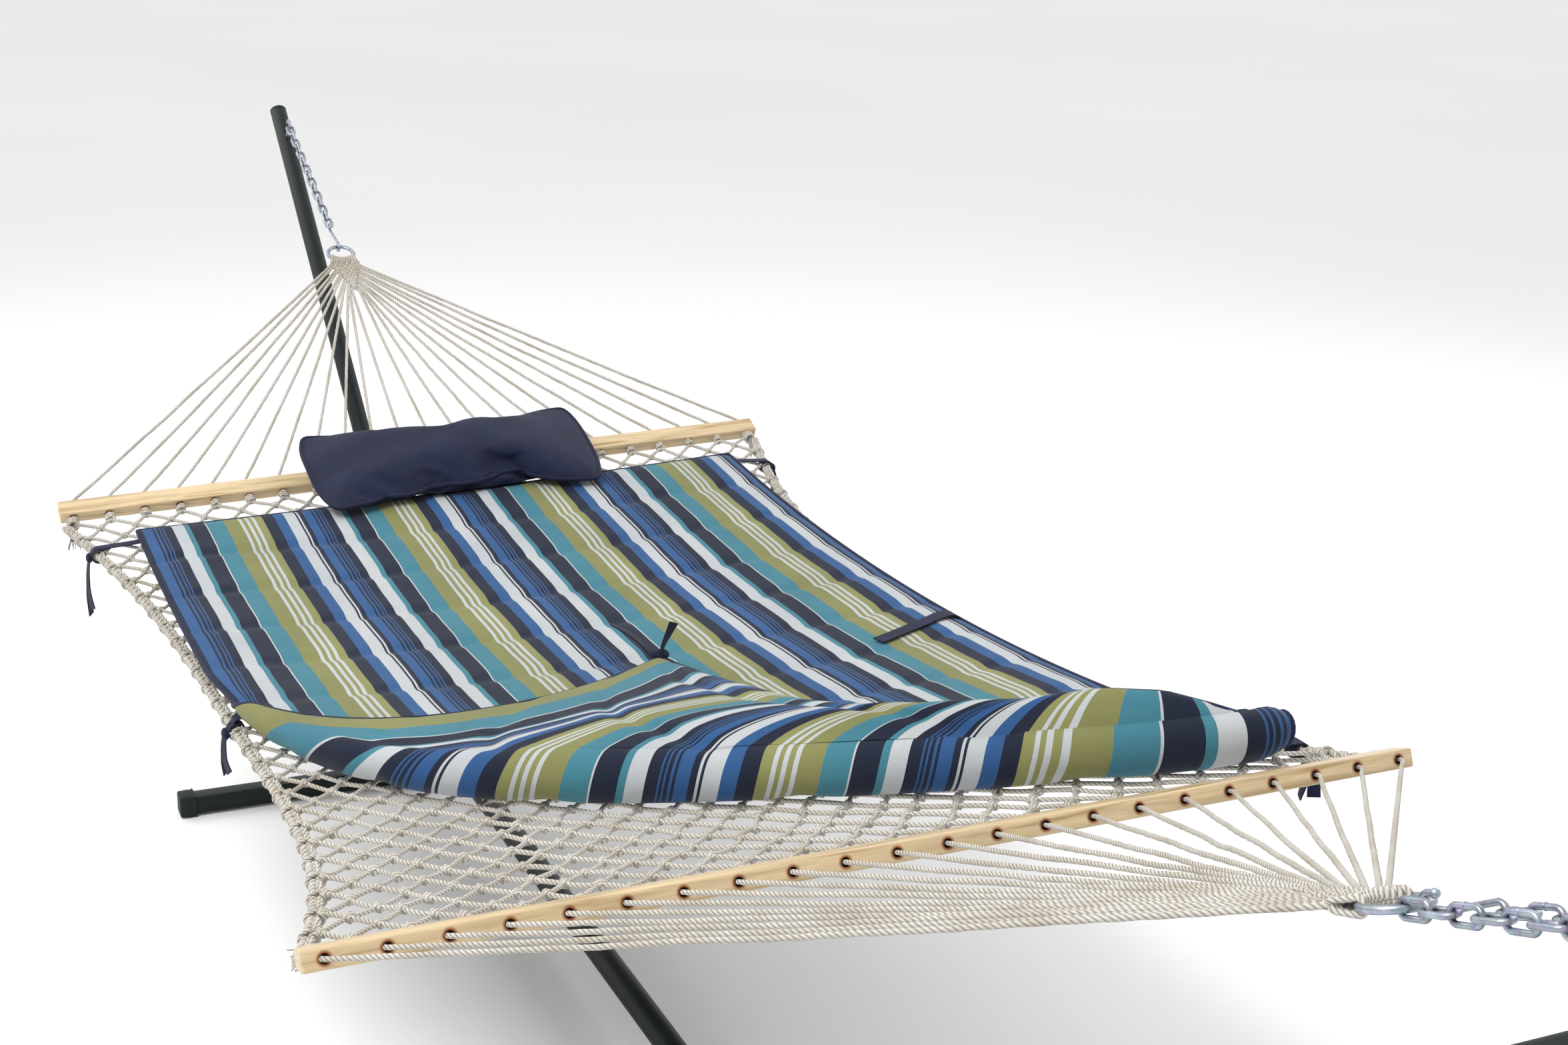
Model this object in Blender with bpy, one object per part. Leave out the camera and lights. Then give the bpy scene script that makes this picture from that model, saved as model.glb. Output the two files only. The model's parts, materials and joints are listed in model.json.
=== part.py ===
"""Rope hammock with spreader bars, quilted pad and pillow, hung by chains in a steel tube stand.

Run in Blender: it clears the scene and builds every piece as its own object, in metres, +Z up.
+X runs from the head end to the foot end, +Y across, and the stand's feet stand on z = 0.
"""

import math

import bmesh
import bpy
from mathutils import Vector

# ---------------------------------------------------------------- driving dimensions
GAP = 0.0003                # clearance between faces that touch
Y_AXIS = Vector((0, 1, 0))

# stand
CAP_WALL = 0.003            # rubber end cap of a cross foot
CAP_LENGTH = 0.032
CROSS_SIZE = 0.035          # square tube of a cross foot
CROSS_WALL = 0.0016
CROSS_LENGTH = 1.060        # over its end caps
CROSS_X = 0.830             # cross foot from the middle of the stand
SADDLE_WEB = 0.003          # metal under the tube in its saddle
SADDLE_SIDE = 0.009         # height of the saddle's cheeks
SADDLE_WIDTH = 0.046
SADDLE_LENGTH = 0.034
BASE_OD = 0.042             # round tube along the ground
BASE_WALL = 0.0016
BASE_HALF = 0.660           # half length of the base tube
ELBOW_INSERT = 0.110        # elbow pushed into the base tube
ELBOW_X = 0.877             # where the arm's line meets the base tube's line
ELBOW_BEND = 0.080          # bend radius on the centre line
ELBOW_RISE = 0.300          # from that meeting point up to the arm tube
ELBOW_WALL = 0.0016
SPIGOT = 0.090              # reduced end of the elbow inside the arm
ARM_OD = 0.038
ARM_WALL = 0.0016
ARM_TOP_X = 2.2556          # centre of the arm's top face
ARM_TOP_Z = 1.158
ARM_CAP = 0.004             # flange of the arm's end cap
ARM_PLUG = 0.020

# bolts
BOLT_R = 0.0039
BOLT_HOLE = BOLT_R + GAP
BOLT_HEAD = 0.013           # across the flats
BOLT_HEAD_T = 0.0053
NUT_T = 0.0065
THREAD_END = 0.003          # bolt past its nut

# hook bolt and chain
HOOK_DROP = 0.105           # hook bolt below the arm's top, along the arm
HOOK_REACH = 0.055          # hook's centre from the arm's centre line
HOOK_WIRE_R = 0.0035
HOOK_R = 0.012              # bend of the hook on its centre line
HOOK_TURN = math.radians(285)
LINK_WIRE_R = 0.0029
LINK_PITCH = 0.029          # inner length of a link
LINK_INNER = 0.009          # inner width of a link
LINK_BITE = 0.0008          # links bear on each other, so that a chain is one body
HEAD_LINKS = 15
FOOT_LINKS = 9              # each strand of the doubled chain at the foot end
S_HOOK_LINKS = 3            # links of one foot strand that its S hook replaces
S_WIRE_R = 0.003
S_SPAN = 0.0796             # between the two bends of an S hook
S_SLACK = 0.0014
RING_R = 0.028              # on the centre line of the wire
RING_WIRE_R = 0.004

# hammock bed
CORDS = 22
HOLE_PITCH = 0.0643
HOLE_R = 0.005
CORD_R = 0.0032
BAR_END = 0.023             # from the last hole to the end of a spreader bar
BAR_DEPTH = 0.038           # along its holes
BAR_HEIGHT = 0.024
BAR_EDGE = 0.003
HEAD_BAR = Vector((-0.946, 0, 0.613))
FOOT_BAR = Vector((1.098, 0, 0.724))
HEAD_TILT = math.radians(2.33)      # the head bar hangs a little lower on its -Y side
FOOT_TILT = math.radians(0.36)
KNOT_R = 0.0075
KNOT_LENGTH = 0.010
NET_START = 0.0335          # net's end from the middle of a bar
NET_T = 0.008
NET_SAG = 0.088
NET_SAG_SHIFT = 0.07        # the low point lies a little towards the foot
NET_BELLY = 0.030           # the middle hangs below the two edges
NET_HALF_WIDTH = 0.700
NET_WAIST = 0.1166          # how far each edge draws in at mid length
WAIST_SHIFT = 0.13
WAIST_POWER = 2.9
EDGE_ROPE_R = 0.009
WEAVE_LENGTH = 0.105        # woven point of the clew, from the ring's wire
WEAVE_T = 0.0075
WEAVE_SPREAD = math.radians(55)

# pad and pillow
PAD_HEAD_X = -0.770
PAD_HALF_WIDTH = 0.580
PAD_T = 0.034
PAD_LIFT = 0.0016           # pad above the net, past the flats of both
FOLD_START_X = 0.110        # about where the fold leaves the -Y edge
FOLD_END_X = 1.030          # where it reaches the +Y edge
# the fold as (share of the pad's width from its -Y edge, X)
FOLD = ((0.0, 0.050), (0.04, 0.240), (0.1, 0.420), (0.2, 0.560), (0.3, 0.640), (0.4, 0.710), (0.5, 0.790),
        (0.6, 0.865), (0.7, 0.925), (0.8, 0.965), (0.9, 1.000), (1.0, FOLD_END_X))
FLAP_CORNER = Vector((0.190, 0.048))
# outline of the folded part as (Y, X), from the -Y edge by its corner to the +Y edge
FLAP_EDGE = ((-0.580, 0.060), (-0.540, 0.220), (-0.470, 0.300), (-0.400, 0.335), (-0.320, 0.340),
             (-0.200, 0.300), (-0.076, 0.250), (0.030, 0.190), (0.070, 0.340), (0.090, 0.455), (0.110, 0.680),
             (0.140, 0.800), (0.195, 0.840), (0.255, 0.865), (0.375, 0.905), (0.580, 0.970))
FLAP_LOW = 0.062            # height of the folded part over the net at its low end
FLAP_HIGH = 0.125
PILLOW_SIZE = Vector((0.270, 0.560, 0.100))
PILLOW_X = -0.835
PILLOW_Y = 0.020
TIE_WIDTH = 0.024
TIE_T = 0.002

# facets
TUBE_SIDES = 20
LINK_BENDS = 4              # facets round each end of a link

# ---------------------------------------------------------------- values that follow
ELBOW_R = BASE_OD / 2 - BASE_WALL - GAP
SPIGOT_R = ARM_OD / 2 - ARM_WALL - GAP
CROSS_Z = CAP_WALL + GAP + CROSS_SIZE / 2
SADDLE_Z = CROSS_Z + CROSS_SIZE / 2 + GAP
BASE_Z = SADDLE_Z + SADDLE_WEB + GAP + ELBOW_R
ARM_ANGLE = math.atan2(ARM_TOP_Z - BASE_Z, ARM_TOP_X - ELBOW_X)
LINK_TURN_R = LINK_INNER / 2 + LINK_WIRE_R
LINK_SPAN = LINK_PITCH + 2 * LINK_WIRE_R - LINK_BITE    # between its two end wires


# ---------------------------------------------------------------- helpers
def clear_scene():
    for item in list(bpy.data.objects):
        bpy.data.objects.remove(item, do_unlink=True)


def make_material(name, colour, roughness, metallic=0.0):
    mat = bpy.data.materials.new(name)
    mat.use_nodes = True
    shader = mat.node_tree.nodes["Principled BSDF"]
    shader.inputs["Base Color"].default_value = (*colour, 1.0)
    shader.inputs["Roughness"].default_value = roughness
    shader.inputs["Metallic"].default_value = metallic
    mat.diffuse_color = (*colour, 1.0)
    return mat


def make_empty(name, location):
    empty = bpy.data.objects.new(name, None)
    empty.location = location
    bpy.context.scene.collection.objects.link(empty)
    return empty


def make_object(name, bm, mat, parent, smooth=True):
    """Turn a bmesh in world coordinates into an object under its parent empty."""
    bmesh.ops.recalc_face_normals(bm, faces=bm.faces)
    bmesh.ops.translate(bm, verts=bm.verts, vec=-parent.location)
    mesh = bpy.data.meshes.new(name)
    bm.to_mesh(mesh)
    bm.free()
    mesh.materials.append(mat)
    if smooth:
        mesh.shade_smooth()
        mesh.set_sharp_from_angle(angle=math.radians(40))
    item = bpy.data.objects.new(name, mesh)
    item.parent = parent
    bpy.context.scene.collection.objects.link(item)
    return item


def hide_as_tool(item):
    item.hide_render = True
    item.display_type = "WIRE"


def cut(item, cutter):
    """Cut a hidden tool object out of an object."""
    hide_as_tool(cutter)
    modifier = item.modifiers.new("cut " + cutter.name, "BOOLEAN")
    modifier.operation = "DIFFERENCE"
    modifier.object = cutter


def fuse(item, others):
    """Unite several hidden objects with an object, so that they are one body."""
    group = bpy.data.collections.new(item.name + "_union")
    bpy.context.scene.collection.children.link(group)
    for other in others:
        bpy.context.scene.collection.objects.unlink(other)
        group.objects.link(other)
        hide_as_tool(other)
    modifier = item.modifiers.new("union", "BOOLEAN")
    modifier.operation = "UNION"
    modifier.operand_type = "COLLECTION"
    modifier.collection = group


def stack(bm, rings, closed=False):
    """Join rings of equally many points by quads, with end caps unless the stack closes on itself."""
    rows = [[bm.verts.new(point) for point in ring] for ring in rings]
    pairs = list(zip(rows, rows[1:]))
    if closed:
        pairs.append((rows[-1], rows[0]))
    count = len(rows[0])
    for low, high in pairs:
        for i in range(count):
            j = (i + 1) % count
            bm.faces.new((low[i], low[j], high[j], high[i]))
    if not closed:
        bm.faces.new(rows[0][::-1])
        bm.faces.new(rows[-1])
    return bm


def circle(centre, across, up, radius, sides):
    turn = 2 * math.pi / sides
    return [centre + radius * (math.cos(i * turn) * across + math.sin(i * turn) * up)
            for i in range(sides)]


def hexagon(centre, across, up, flats):
    """A hexagon drawn with twelve points, so that it joins a twelve-sided circle."""
    points = []
    for i in range(12):
        angle = i * math.pi / 6
        reach = flats / 2 / (1 if i % 2 == 0 else math.cos(math.pi / 6))
        points.append(centre + reach * (math.cos(angle) * across + math.sin(angle) * up))
    return points


def rectangle(centre, across, up, width, height):
    return [centre + sx * width / 2 * across + sz * height / 2 * up
            for sx, sz in ((-1, -1), (1, -1), (1, 1), (-1, 1))]


def tangents(path, closed=False):
    count = len(path)
    result = []
    for i in range(count):
        before = path[i - 1] if (i > 0 or closed) else path[0]
        after = path[(i + 1) % count] if (i < count - 1 or closed) else path[-1]
        result.append((after - before).normalized())
    return result


def sweep(path, radii, sides, side_axis=None, closed=False):
    """Rings of a round bar along a path; the side axis is carried along the path where none is given."""
    directions = tangents(path, closed)
    if side_axis is None:
        start = directions[0]
        helper = Vector((0, 0, 1)) if abs(start.z) < 0.9 else Vector((1, 0, 0))
        side_axis = start.cross(helper).normalized()
    rings = []
    for point, direction, radius in zip(path, directions, radii):
        side_axis = (side_axis - side_axis.dot(direction) * direction).normalized()
        rings.append(circle(point, side_axis, direction.cross(side_axis), radius, sides))
    return rings


def solid_rod(name, path, radius, sides, mat, parent, side_axis=None, closed=False):
    bm = bmesh.new()
    stack(bm, sweep(path, [radius] * len(path), sides, side_axis, closed), closed)
    return make_object(name, bm, mat, parent)


def hollow_tube(name, path, outer, inner, mat, parent):
    """A tube open at both ends; outer and inner are radii for each point of its path."""
    bm = bmesh.new()
    outside = sweep(path, outer, TUBE_SIDES, Y_AXIS)
    inside = sweep(path, inner, TUBE_SIDES, Y_AXIS)
    stack(bm, outside + inside[::-1], closed=True)
    return make_object(name, bm, mat, parent)


def drill(name, start, end, radius):
    """A hidden round cutter from start to end."""
    direction = (end - start).normalized()
    across = Vector((0, 0, 1)) if abs(direction.z) < 0.9 else Vector((1, 0, 0))
    across = (across - across.dot(direction) * direction).normalized()
    bm = bmesh.new()
    up = direction.cross(across)
    stack(bm, [circle(start, across, up, radius, 12), circle(end, across, up, radius, 12)])
    bmesh.ops.recalc_face_normals(bm, faces=bm.faces)
    mesh = bpy.data.meshes.new(name)
    bm.to_mesh(mesh)
    bm.free()
    cutter = bpy.data.objects.new(name, mesh)
    bpy.context.scene.collection.objects.link(cutter)
    return cutter


def bolt_and_nut(name, seat, direction, across, grip, mat, parent):
    """A hex bolt whose head seats at a point, with its nut a grip length further along."""
    up = direction.cross(across)
    end = seat + (grip + NUT_T + THREAD_END) * direction
    bm = bmesh.new()
    stack(bm, [hexagon(seat - BOLT_HEAD_T * direction, across, up, BOLT_HEAD),
               hexagon(seat, across, up, BOLT_HEAD),
               circle(seat, across, up, BOLT_R, 12),
               circle(end, across, up, BOLT_R, 12)])
    make_object(name, bm, mat, parent)
    low = seat + grip * direction
    high = low + NUT_T * direction
    bm = bmesh.new()
    stack(bm, [hexagon(low, across, up, BOLT_HEAD), hexagon(high, across, up, BOLT_HEAD),
               circle(high, across, up, BOLT_HOLE, 12), circle(low, across, up, BOLT_HOLE, 12)],
          closed=True)
    make_object(name.replace("bolt", "nut"), bm, mat, parent)


# ---------------------------------------------------------------- directions at each end
class End:
    """Lines and directions at the head end (side -1) or at the foot end (side 1)."""

    def __init__(self, name, side, bar, tilt):
        self.name = name
        self.side = side
        self.bar = bar
        self.bar_axis = Vector((0, math.cos(tilt), math.sin(tilt)))
        self.arm = Vector((side * math.cos(ARM_ANGLE), 0, math.sin(ARM_ANGLE)))
        self.inward = Vector((-side * math.sin(ARM_ANGLE), 0, math.cos(ARM_ANGLE)))
        self.corner = Vector((side * ELBOW_X, 0, BASE_Z))
        self.top = Vector((side * ARM_TOP_X, 0, ARM_TOP_Z))
        self.hook_root = self.top - HOOK_DROP * self.arm
        self.hook = self.hook_root + HOOK_REACH * self.inward
        self.pull = (bar - self.hook).normalized()
        self.normal = Y_AXIS.cross(self.pull)

    def along(self, distance, across=0.0):
        """A point on the line from the hook to the spreader bar."""
        return self.hook + distance * self.pull + across * Y_AXIS


HEAD = End("head", -1, HEAD_BAR, HEAD_TILT)
FOOT = End("foot", 1, FOOT_BAR, FOOT_TILT)
ENDS = (HEAD, FOOT)


# ---------------------------------------------------------------- stand
def build_base_tube(steel, frame):
    path = [Vector((x, 0, BASE_Z)) for x in (-BASE_HALF, BASE_HALF)]
    outer = [BASE_OD / 2] * 2
    inner = [BASE_OD / 2 - BASE_WALL] * 2
    return hollow_tube("base_tube", path, outer, inner, steel, frame)


def elbow_path(end):
    """Centre line of an elbow: out of the base tube, round the bend and up the arm's line."""
    back = ELBOW_BEND * math.tan(ARM_ANGLE / 2)
    outward = Vector((end.side, 0, 0))
    points = [Vector((end.side * (BASE_HALF - ELBOW_INSERT), 0, BASE_Z))]
    steps = 4
    centre = end.corner - back * outward + Vector((0, 0, ELBOW_BEND))
    for i in range(steps + 1):
        angle = ARM_ANGLE * i / steps
        points.append(centre + ELBOW_BEND * (math.sin(angle) * outward - Vector((0, 0, math.cos(angle)))))
    shoulder = end.corner + ELBOW_RISE * end.arm
    return points, shoulder


def build_elbow(end, steel, frame):
    points, shoulder = elbow_path(end)
    path = points + [shoulder - 0.0001 * end.arm, shoulder, shoulder + SPIGOT * end.arm]
    outer = [ELBOW_R] * (len(points) + 1) + [SPIGOT_R] * 2
    inner = [SPIGOT_R - ELBOW_WALL] * len(path)
    return hollow_tube("elbow_" + end.name, path, outer, inner, steel, frame)


def build_arm(end, steel, frame):
    start = end.corner + (ELBOW_RISE + GAP) * end.arm
    finish = end.top - (ARM_CAP + GAP) * end.arm
    path = [start, finish]
    return hollow_tube("arm_" + end.name, path, [ARM_OD / 2] * 2, [ARM_OD / 2 - ARM_WALL] * 2,
                       steel, frame)


def build_arm_cap(end, plastic, frame):
    across, up = Y_AXIS, end.arm.cross(Y_AXIS)
    under = end.top - ARM_CAP * end.arm
    plug = ARM_OD / 2 - ARM_WALL - GAP
    bm = bmesh.new()
    stack(bm, [circle(under - ARM_PLUG * end.arm, across, up, plug, TUBE_SIDES),
               circle(under, across, up, plug, TUBE_SIDES),
               circle(under, across, up, ARM_OD / 2 + GAP, TUBE_SIDES),
               circle(end.top, across, up, ARM_OD / 2 + GAP, TUBE_SIDES)])
    make_object("arm_cap_" + end.name, bm, plastic, frame)


def build_cross_foot(end, steel, frame):
    across, up = Vector((1, 0, 0)), Vector((0, 0, 1))
    half = CROSS_LENGTH / 2 - CAP_WALL - GAP
    bore = CROSS_SIZE - 2 * CROSS_WALL
    ends = [Vector((end.side * CROSS_X, y, CROSS_Z)) for y in (-half, half)]
    bm = bmesh.new()
    stack(bm, [rectangle(ends[0], across, up, CROSS_SIZE, CROSS_SIZE),
               rectangle(ends[1], across, up, CROSS_SIZE, CROSS_SIZE),
               rectangle(ends[1], across, up, bore, bore),
               rectangle(ends[0], across, up, bore, bore)], closed=True)
    return make_object("cross_foot_" + end.name, bm, steel, frame, smooth=False)


def build_foot_caps(end, plastic, frame):
    across, up = Vector((1, 0, 0)), Vector((0, 0, 1))
    outer = CROSS_SIZE + 2 * (CAP_WALL + GAP)
    pocket = CROSS_SIZE + 2 * GAP
    for side_name, side in (("left", -1), ("right", 1)):
        def at(distance):
            return Vector((end.side * CROSS_X, side * (CROSS_LENGTH / 2 - distance), CROSS_Z))
        bm = bmesh.new()
        stack(bm, [rectangle(at(CAP_WALL), across, up, pocket, pocket),
                   rectangle(at(CAP_LENGTH), across, up, pocket, pocket),
                   rectangle(at(CAP_LENGTH), across, up, outer, outer),
                   rectangle(at(0), across, up, outer, outer)])
        make_object(f"foot_cap_{end.name}_{side_name}", bm, plastic, frame, smooth=False)


def build_saddle(end, steel, frame):
    """A block with a round cradle that carries the elbow on the cross foot."""
    cradle = ELBOW_R + GAP
    rim = SADDLE_Z + SADDLE_WEB + SADDLE_SIDE
    half_angle = math.acos((BASE_Z - rim) / cradle)
    steps = 8
    outline = [(-SADDLE_WIDTH / 2, SADDLE_Z), (SADDLE_WIDTH / 2, SADDLE_Z), (SADDLE_WIDTH / 2, rim)]
    for i in range(steps + 1):
        angle = half_angle * (1 - 2 * i / steps)
        outline.append((cradle * math.sin(angle), BASE_Z - cradle * math.cos(angle)))
    outline.append((-SADDLE_WIDTH / 2, rim))
    middle = end.side * CROSS_X
    rings = [[Vector((x, y, z)) for y, z in outline]
             for x in (middle - SADDLE_LENGTH / 2, middle + SADDLE_LENGTH / 2)]
    bm = bmesh.new()
    stack(bm, rings)
    return make_object("saddle_" + end.name, bm, steel, frame, smooth=False)


def build_hook_bolt(end, zinc, frame):
    """A bolt through the arm that ends in an open hook, with its nut on the outer side."""
    tail = -(ARM_OD / 2 + GAP + NUT_T + THREAD_END)
    shank = solid_rod("hook_bolt_" + end.name,
                      [end.hook_root + tail * end.inward, end.hook - HOOK_R * end.inward],
                      BOLT_R, 12, zinc, frame, Y_AXIS)
    steps = 12
    bend = []
    for i in range(steps + 1):
        angle = HOOK_TURN * i / steps
        bend.append(end.hook - HOOK_R * (math.cos(angle) * end.inward + math.sin(angle) * end.arm))
    fuse(shank, [solid_rod("hook_bend_" + end.name, bend, HOOK_WIRE_R, 8, zinc, frame, Y_AXIS)])
    low = end.hook_root - (ARM_OD / 2 + GAP) * end.inward
    high = low - NUT_T * end.inward
    across, up = Y_AXIS, end.arm
    bm = bmesh.new()
    stack(bm, [hexagon(low, across, up, BOLT_HEAD), hexagon(high, across, up, BOLT_HEAD),
               circle(high, across, up, BOLT_HOLE, 12), circle(low, across, up, BOLT_HOLE, 12)],
          closed=True)
    make_object("hook_nut_" + end.name, bm, zinc, frame)


def build_stand(frame, steel, plastic, zinc):
    base = build_base_tube(steel, frame)
    across = Vector((0, 0, 1))
    for end in ENDS:
        elbow = build_elbow(end, steel, frame)
        arm = build_arm(end, steel, frame)
        cross = build_cross_foot(end, steel, frame)
        saddle = build_saddle(end, steel, frame)
        build_arm_cap(end, plastic, frame)
        build_foot_caps(end, plastic, frame)
        build_hook_bolt(end, zinc, frame)

        # bolt across the base tube and the elbow inside it
        joint = Vector((end.side * (BASE_HALF - ELBOW_INSERT / 2), 0, BASE_Z))
        reach = BASE_OD / 2 + GAP
        bolt_and_nut("base_bolt_" + end.name, joint - reach * Y_AXIS, Y_AXIS, across,
                     2 * reach, zinc, frame)
        hole = drill("base_hole_" + end.name, joint - BASE_OD * Y_AXIS, joint + BASE_OD * Y_AXIS, BOLT_HOLE)
        cut(base, hole)
        cut(elbow, hole)

        # bolt across the arm and the elbow's reduced end
        joint = end.corner + (ELBOW_RISE + SPIGOT / 2) * end.arm
        reach = ARM_OD / 2 + GAP
        bolt_and_nut("arm_bolt_" + end.name, joint - reach * Y_AXIS, Y_AXIS, end.arm,
                     2 * reach, zinc, frame)
        hole = drill("arm_hole_" + end.name, joint - ARM_OD * Y_AXIS, joint + ARM_OD * Y_AXIS, BOLT_HOLE)
        cut(arm, hole)
        cut(elbow, hole)

        # upright bolt through the elbow and its saddle into the cross foot
        seat = Vector((end.side * CROSS_X, 0, BASE_Z + ELBOW_R + GAP))
        under = CROSS_Z + CROSS_SIZE / 2 - CROSS_WALL - GAP
        bolt_and_nut("saddle_bolt_" + end.name, seat, Vector((0, 0, -1)), Vector((1, 0, 0)),
                     seat.z - under, zinc, frame)
        floor = Vector((seat.x, 0, CROSS_Z))
        hole = drill("saddle_hole_" + end.name, seat + Vector((0, 0, 0.01)), floor, BOLT_HOLE)
        for item in (elbow, saddle, cross):
            cut(item, hole)

        # hole for the hook bolt
        half = ARM_OD * end.inward
        cut(arm, drill("hook_hole_" + end.name, end.hook_root - half, end.hook_root + half, BOLT_HOLE))


# ---------------------------------------------------------------- chains, S hooks and rings
def link(name, first, second, side, mat, parent):
    """A chain link between two end wires, lying in the plane of its length and the side direction."""
    length = (second - first).normalized()
    turn = LINK_TURN_R
    near, far = first + turn * length, second - turn * length
    path = []
    for centre, start in ((far, 0.0), (near, math.pi)):
        for i in range(LINK_BENDS + 1):
            angle = start + math.pi * i / LINK_BENDS
            path.append(centre + turn * (math.cos(angle) * side + math.sin(angle) * length))
    normal = side.cross(length)
    return solid_rod(name, path, LINK_WIRE_R, 6, mat, parent, normal.cross(length), closed=True)


def strand(name, end, start, across, count, first_side, zinc, pivot):
    """Links one after another along the pull line, each turned a quarter from the last."""
    sides = {"flat": Y_AXIS, "upright": end.normal}
    order = ("flat", "upright") if first_side == "flat" else ("upright", "flat")
    links = []
    for i in range(count):
        top = start + i * LINK_PITCH
        links.append(link(f"{name}_{i}", end.along(top, across), end.along(top + LINK_SPAN, across),
                          sides[order[i % 2]], zinc, pivot))
    return links


def s_hook(name, end, chain_wire, ring_wire, across, zinc, pivot):
    """An S hook between the last link's wire and the ring's wire."""
    ring_bend = RING_WIRE_R + S_WIRE_R + S_SLACK
    chain_bend = LINK_WIRE_R + S_WIRE_R + S_SLACK
    low, high = end.along(ring_wire, across), end.along(chain_wire, across)
    steps = 8
    path = [low + ring_bend * end.normal - 0.008 * end.pull]
    for i in range(steps + 1):
        angle = math.pi * i / steps
        path.append(low + ring_bend * (math.cos(angle) * end.normal + math.sin(angle) * end.pull))
    for i in range(steps + 1):
        angle = math.pi * i / steps
        path.append(high + chain_bend * (math.cos(angle) * end.normal - math.sin(angle) * end.pull))
    path.append(high - chain_bend * end.normal + 0.008 * end.pull)
    return solid_rod(name, path, S_WIRE_R, 8, zinc, pivot, Y_AXIS)


def ring(end, distance, zinc, pivot):
    """Round ring lying in the plane of the clew, its centre at a distance from the hook."""
    centre = end.along(distance)
    path = circle(centre, end.pull, Y_AXIS, RING_R, 20)
    return solid_rod("ring_" + end.name, path, RING_WIRE_R, 8, zinc, pivot, end.normal, closed=True)


def build_head_chain(zinc, pivot):
    """Single chain at the head end; gives the distance from the hook to the ring's centre."""
    links = strand("head_link", HEAD, 0.0, 0.0, HEAD_LINKS, "flat", zinc, pivot)
    links[0].name = "chain_head"
    fuse(links[0], links[1:])
    last_wire = (HEAD_LINKS - 1) * LINK_PITCH + LINK_SPAN
    ring_wire = last_wire + S_SPAN
    s_hook("s_hook_head", HEAD, last_wire, ring_wire, 0.0, zinc, pivot)
    return ring_wire + RING_R


def build_foot_chain(zinc, pivot):
    """Doubled chain at the foot end: its middle link hangs crosswise in the hook."""
    upper = HOOK_R - HOOK_WIRE_R - LINK_WIRE_R - 2 * GAP
    lower = upper + 2 * LINK_TURN_R
    half = LINK_SPAN / 2
    middle = (upper + lower) / 2
    cross_link = link("chain_foot", FOOT.along(middle, -half), FOOT.along(middle, half), FOOT.pull, zinc, pivot)
    first = lower - 2 * LINK_WIRE_R + LINK_BITE
    across = LINK_TURN_R + LINK_WIRE_R + 5 * GAP
    left = strand("foot_left_link", FOOT, first, -across, FOOT_LINKS, "upright", zinc, pivot)
    right_count = FOOT_LINKS - S_HOOK_LINKS
    right = strand("foot_right_link", FOOT, first, across, right_count, "upright", zinc, pivot)
    fuse(cross_link, left + right)
    left_wire = first + (FOOT_LINKS - 1) * LINK_PITCH + LINK_SPAN
    bore = math.sqrt((RING_R - RING_WIRE_R) ** 2 - (across + LINK_WIRE_R) ** 2)
    centre = left_wire - LINK_WIRE_R - 2 * GAP + bore
    right_wire = first + (right_count - 1) * LINK_PITCH + LINK_SPAN
    ring_wire = centre - math.sqrt(RING_R ** 2 - across ** 2)
    s_hook("s_hook_foot", FOOT, right_wire, ring_wire, across, zinc, pivot)
    return centre


# ---------------------------------------------------------------- spreader bars and clews
def hole_centre(end, index):
    return end.bar + (index - (CORDS - 1) / 2) * HOLE_PITCH * end.bar_axis


def build_bar(end, wood, pivot):
    half = (CORDS - 1) / 2 * HOLE_PITCH + BAR_END
    up = end.pull.cross(end.bar_axis)
    bm = bmesh.new()
    stack(bm, [rectangle(end.bar + y * end.bar_axis, end.pull, up, BAR_DEPTH, BAR_HEIGHT)
               for y in (-half, half)])
    bar = make_object("spreader_bar_" + end.name, bm, wood, pivot, smooth=False)
    bevel = bar.modifiers.new("edges", "BEVEL")
    bevel.width = BAR_EDGE
    bevel.segments = 1
    bm = bmesh.new()
    side = end.bar_axis
    for i in range(CORDS):
        centre = hole_centre(end, i)
        stack(bm, [circle(centre - BAR_DEPTH * end.pull, side, up, HOLE_R, 8),
                   circle(centre + BAR_DEPTH * end.pull, side, up, HOLE_R, 8)])
    cut(bar, make_object("bar_holes_" + end.name, bm, wood, pivot))


def weave_half_width(distance):
    """Half width of the clew's woven point at a distance from the ring's centre."""
    wide = (RING_R + RING_WIRE_R) * math.sin(WEAVE_SPREAD)
    share = min(max(distance / (RING_R + WEAVE_LENGTH), 0.0), 1.0)
    return wide * (1 - share) + 0.004 * share


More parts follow.
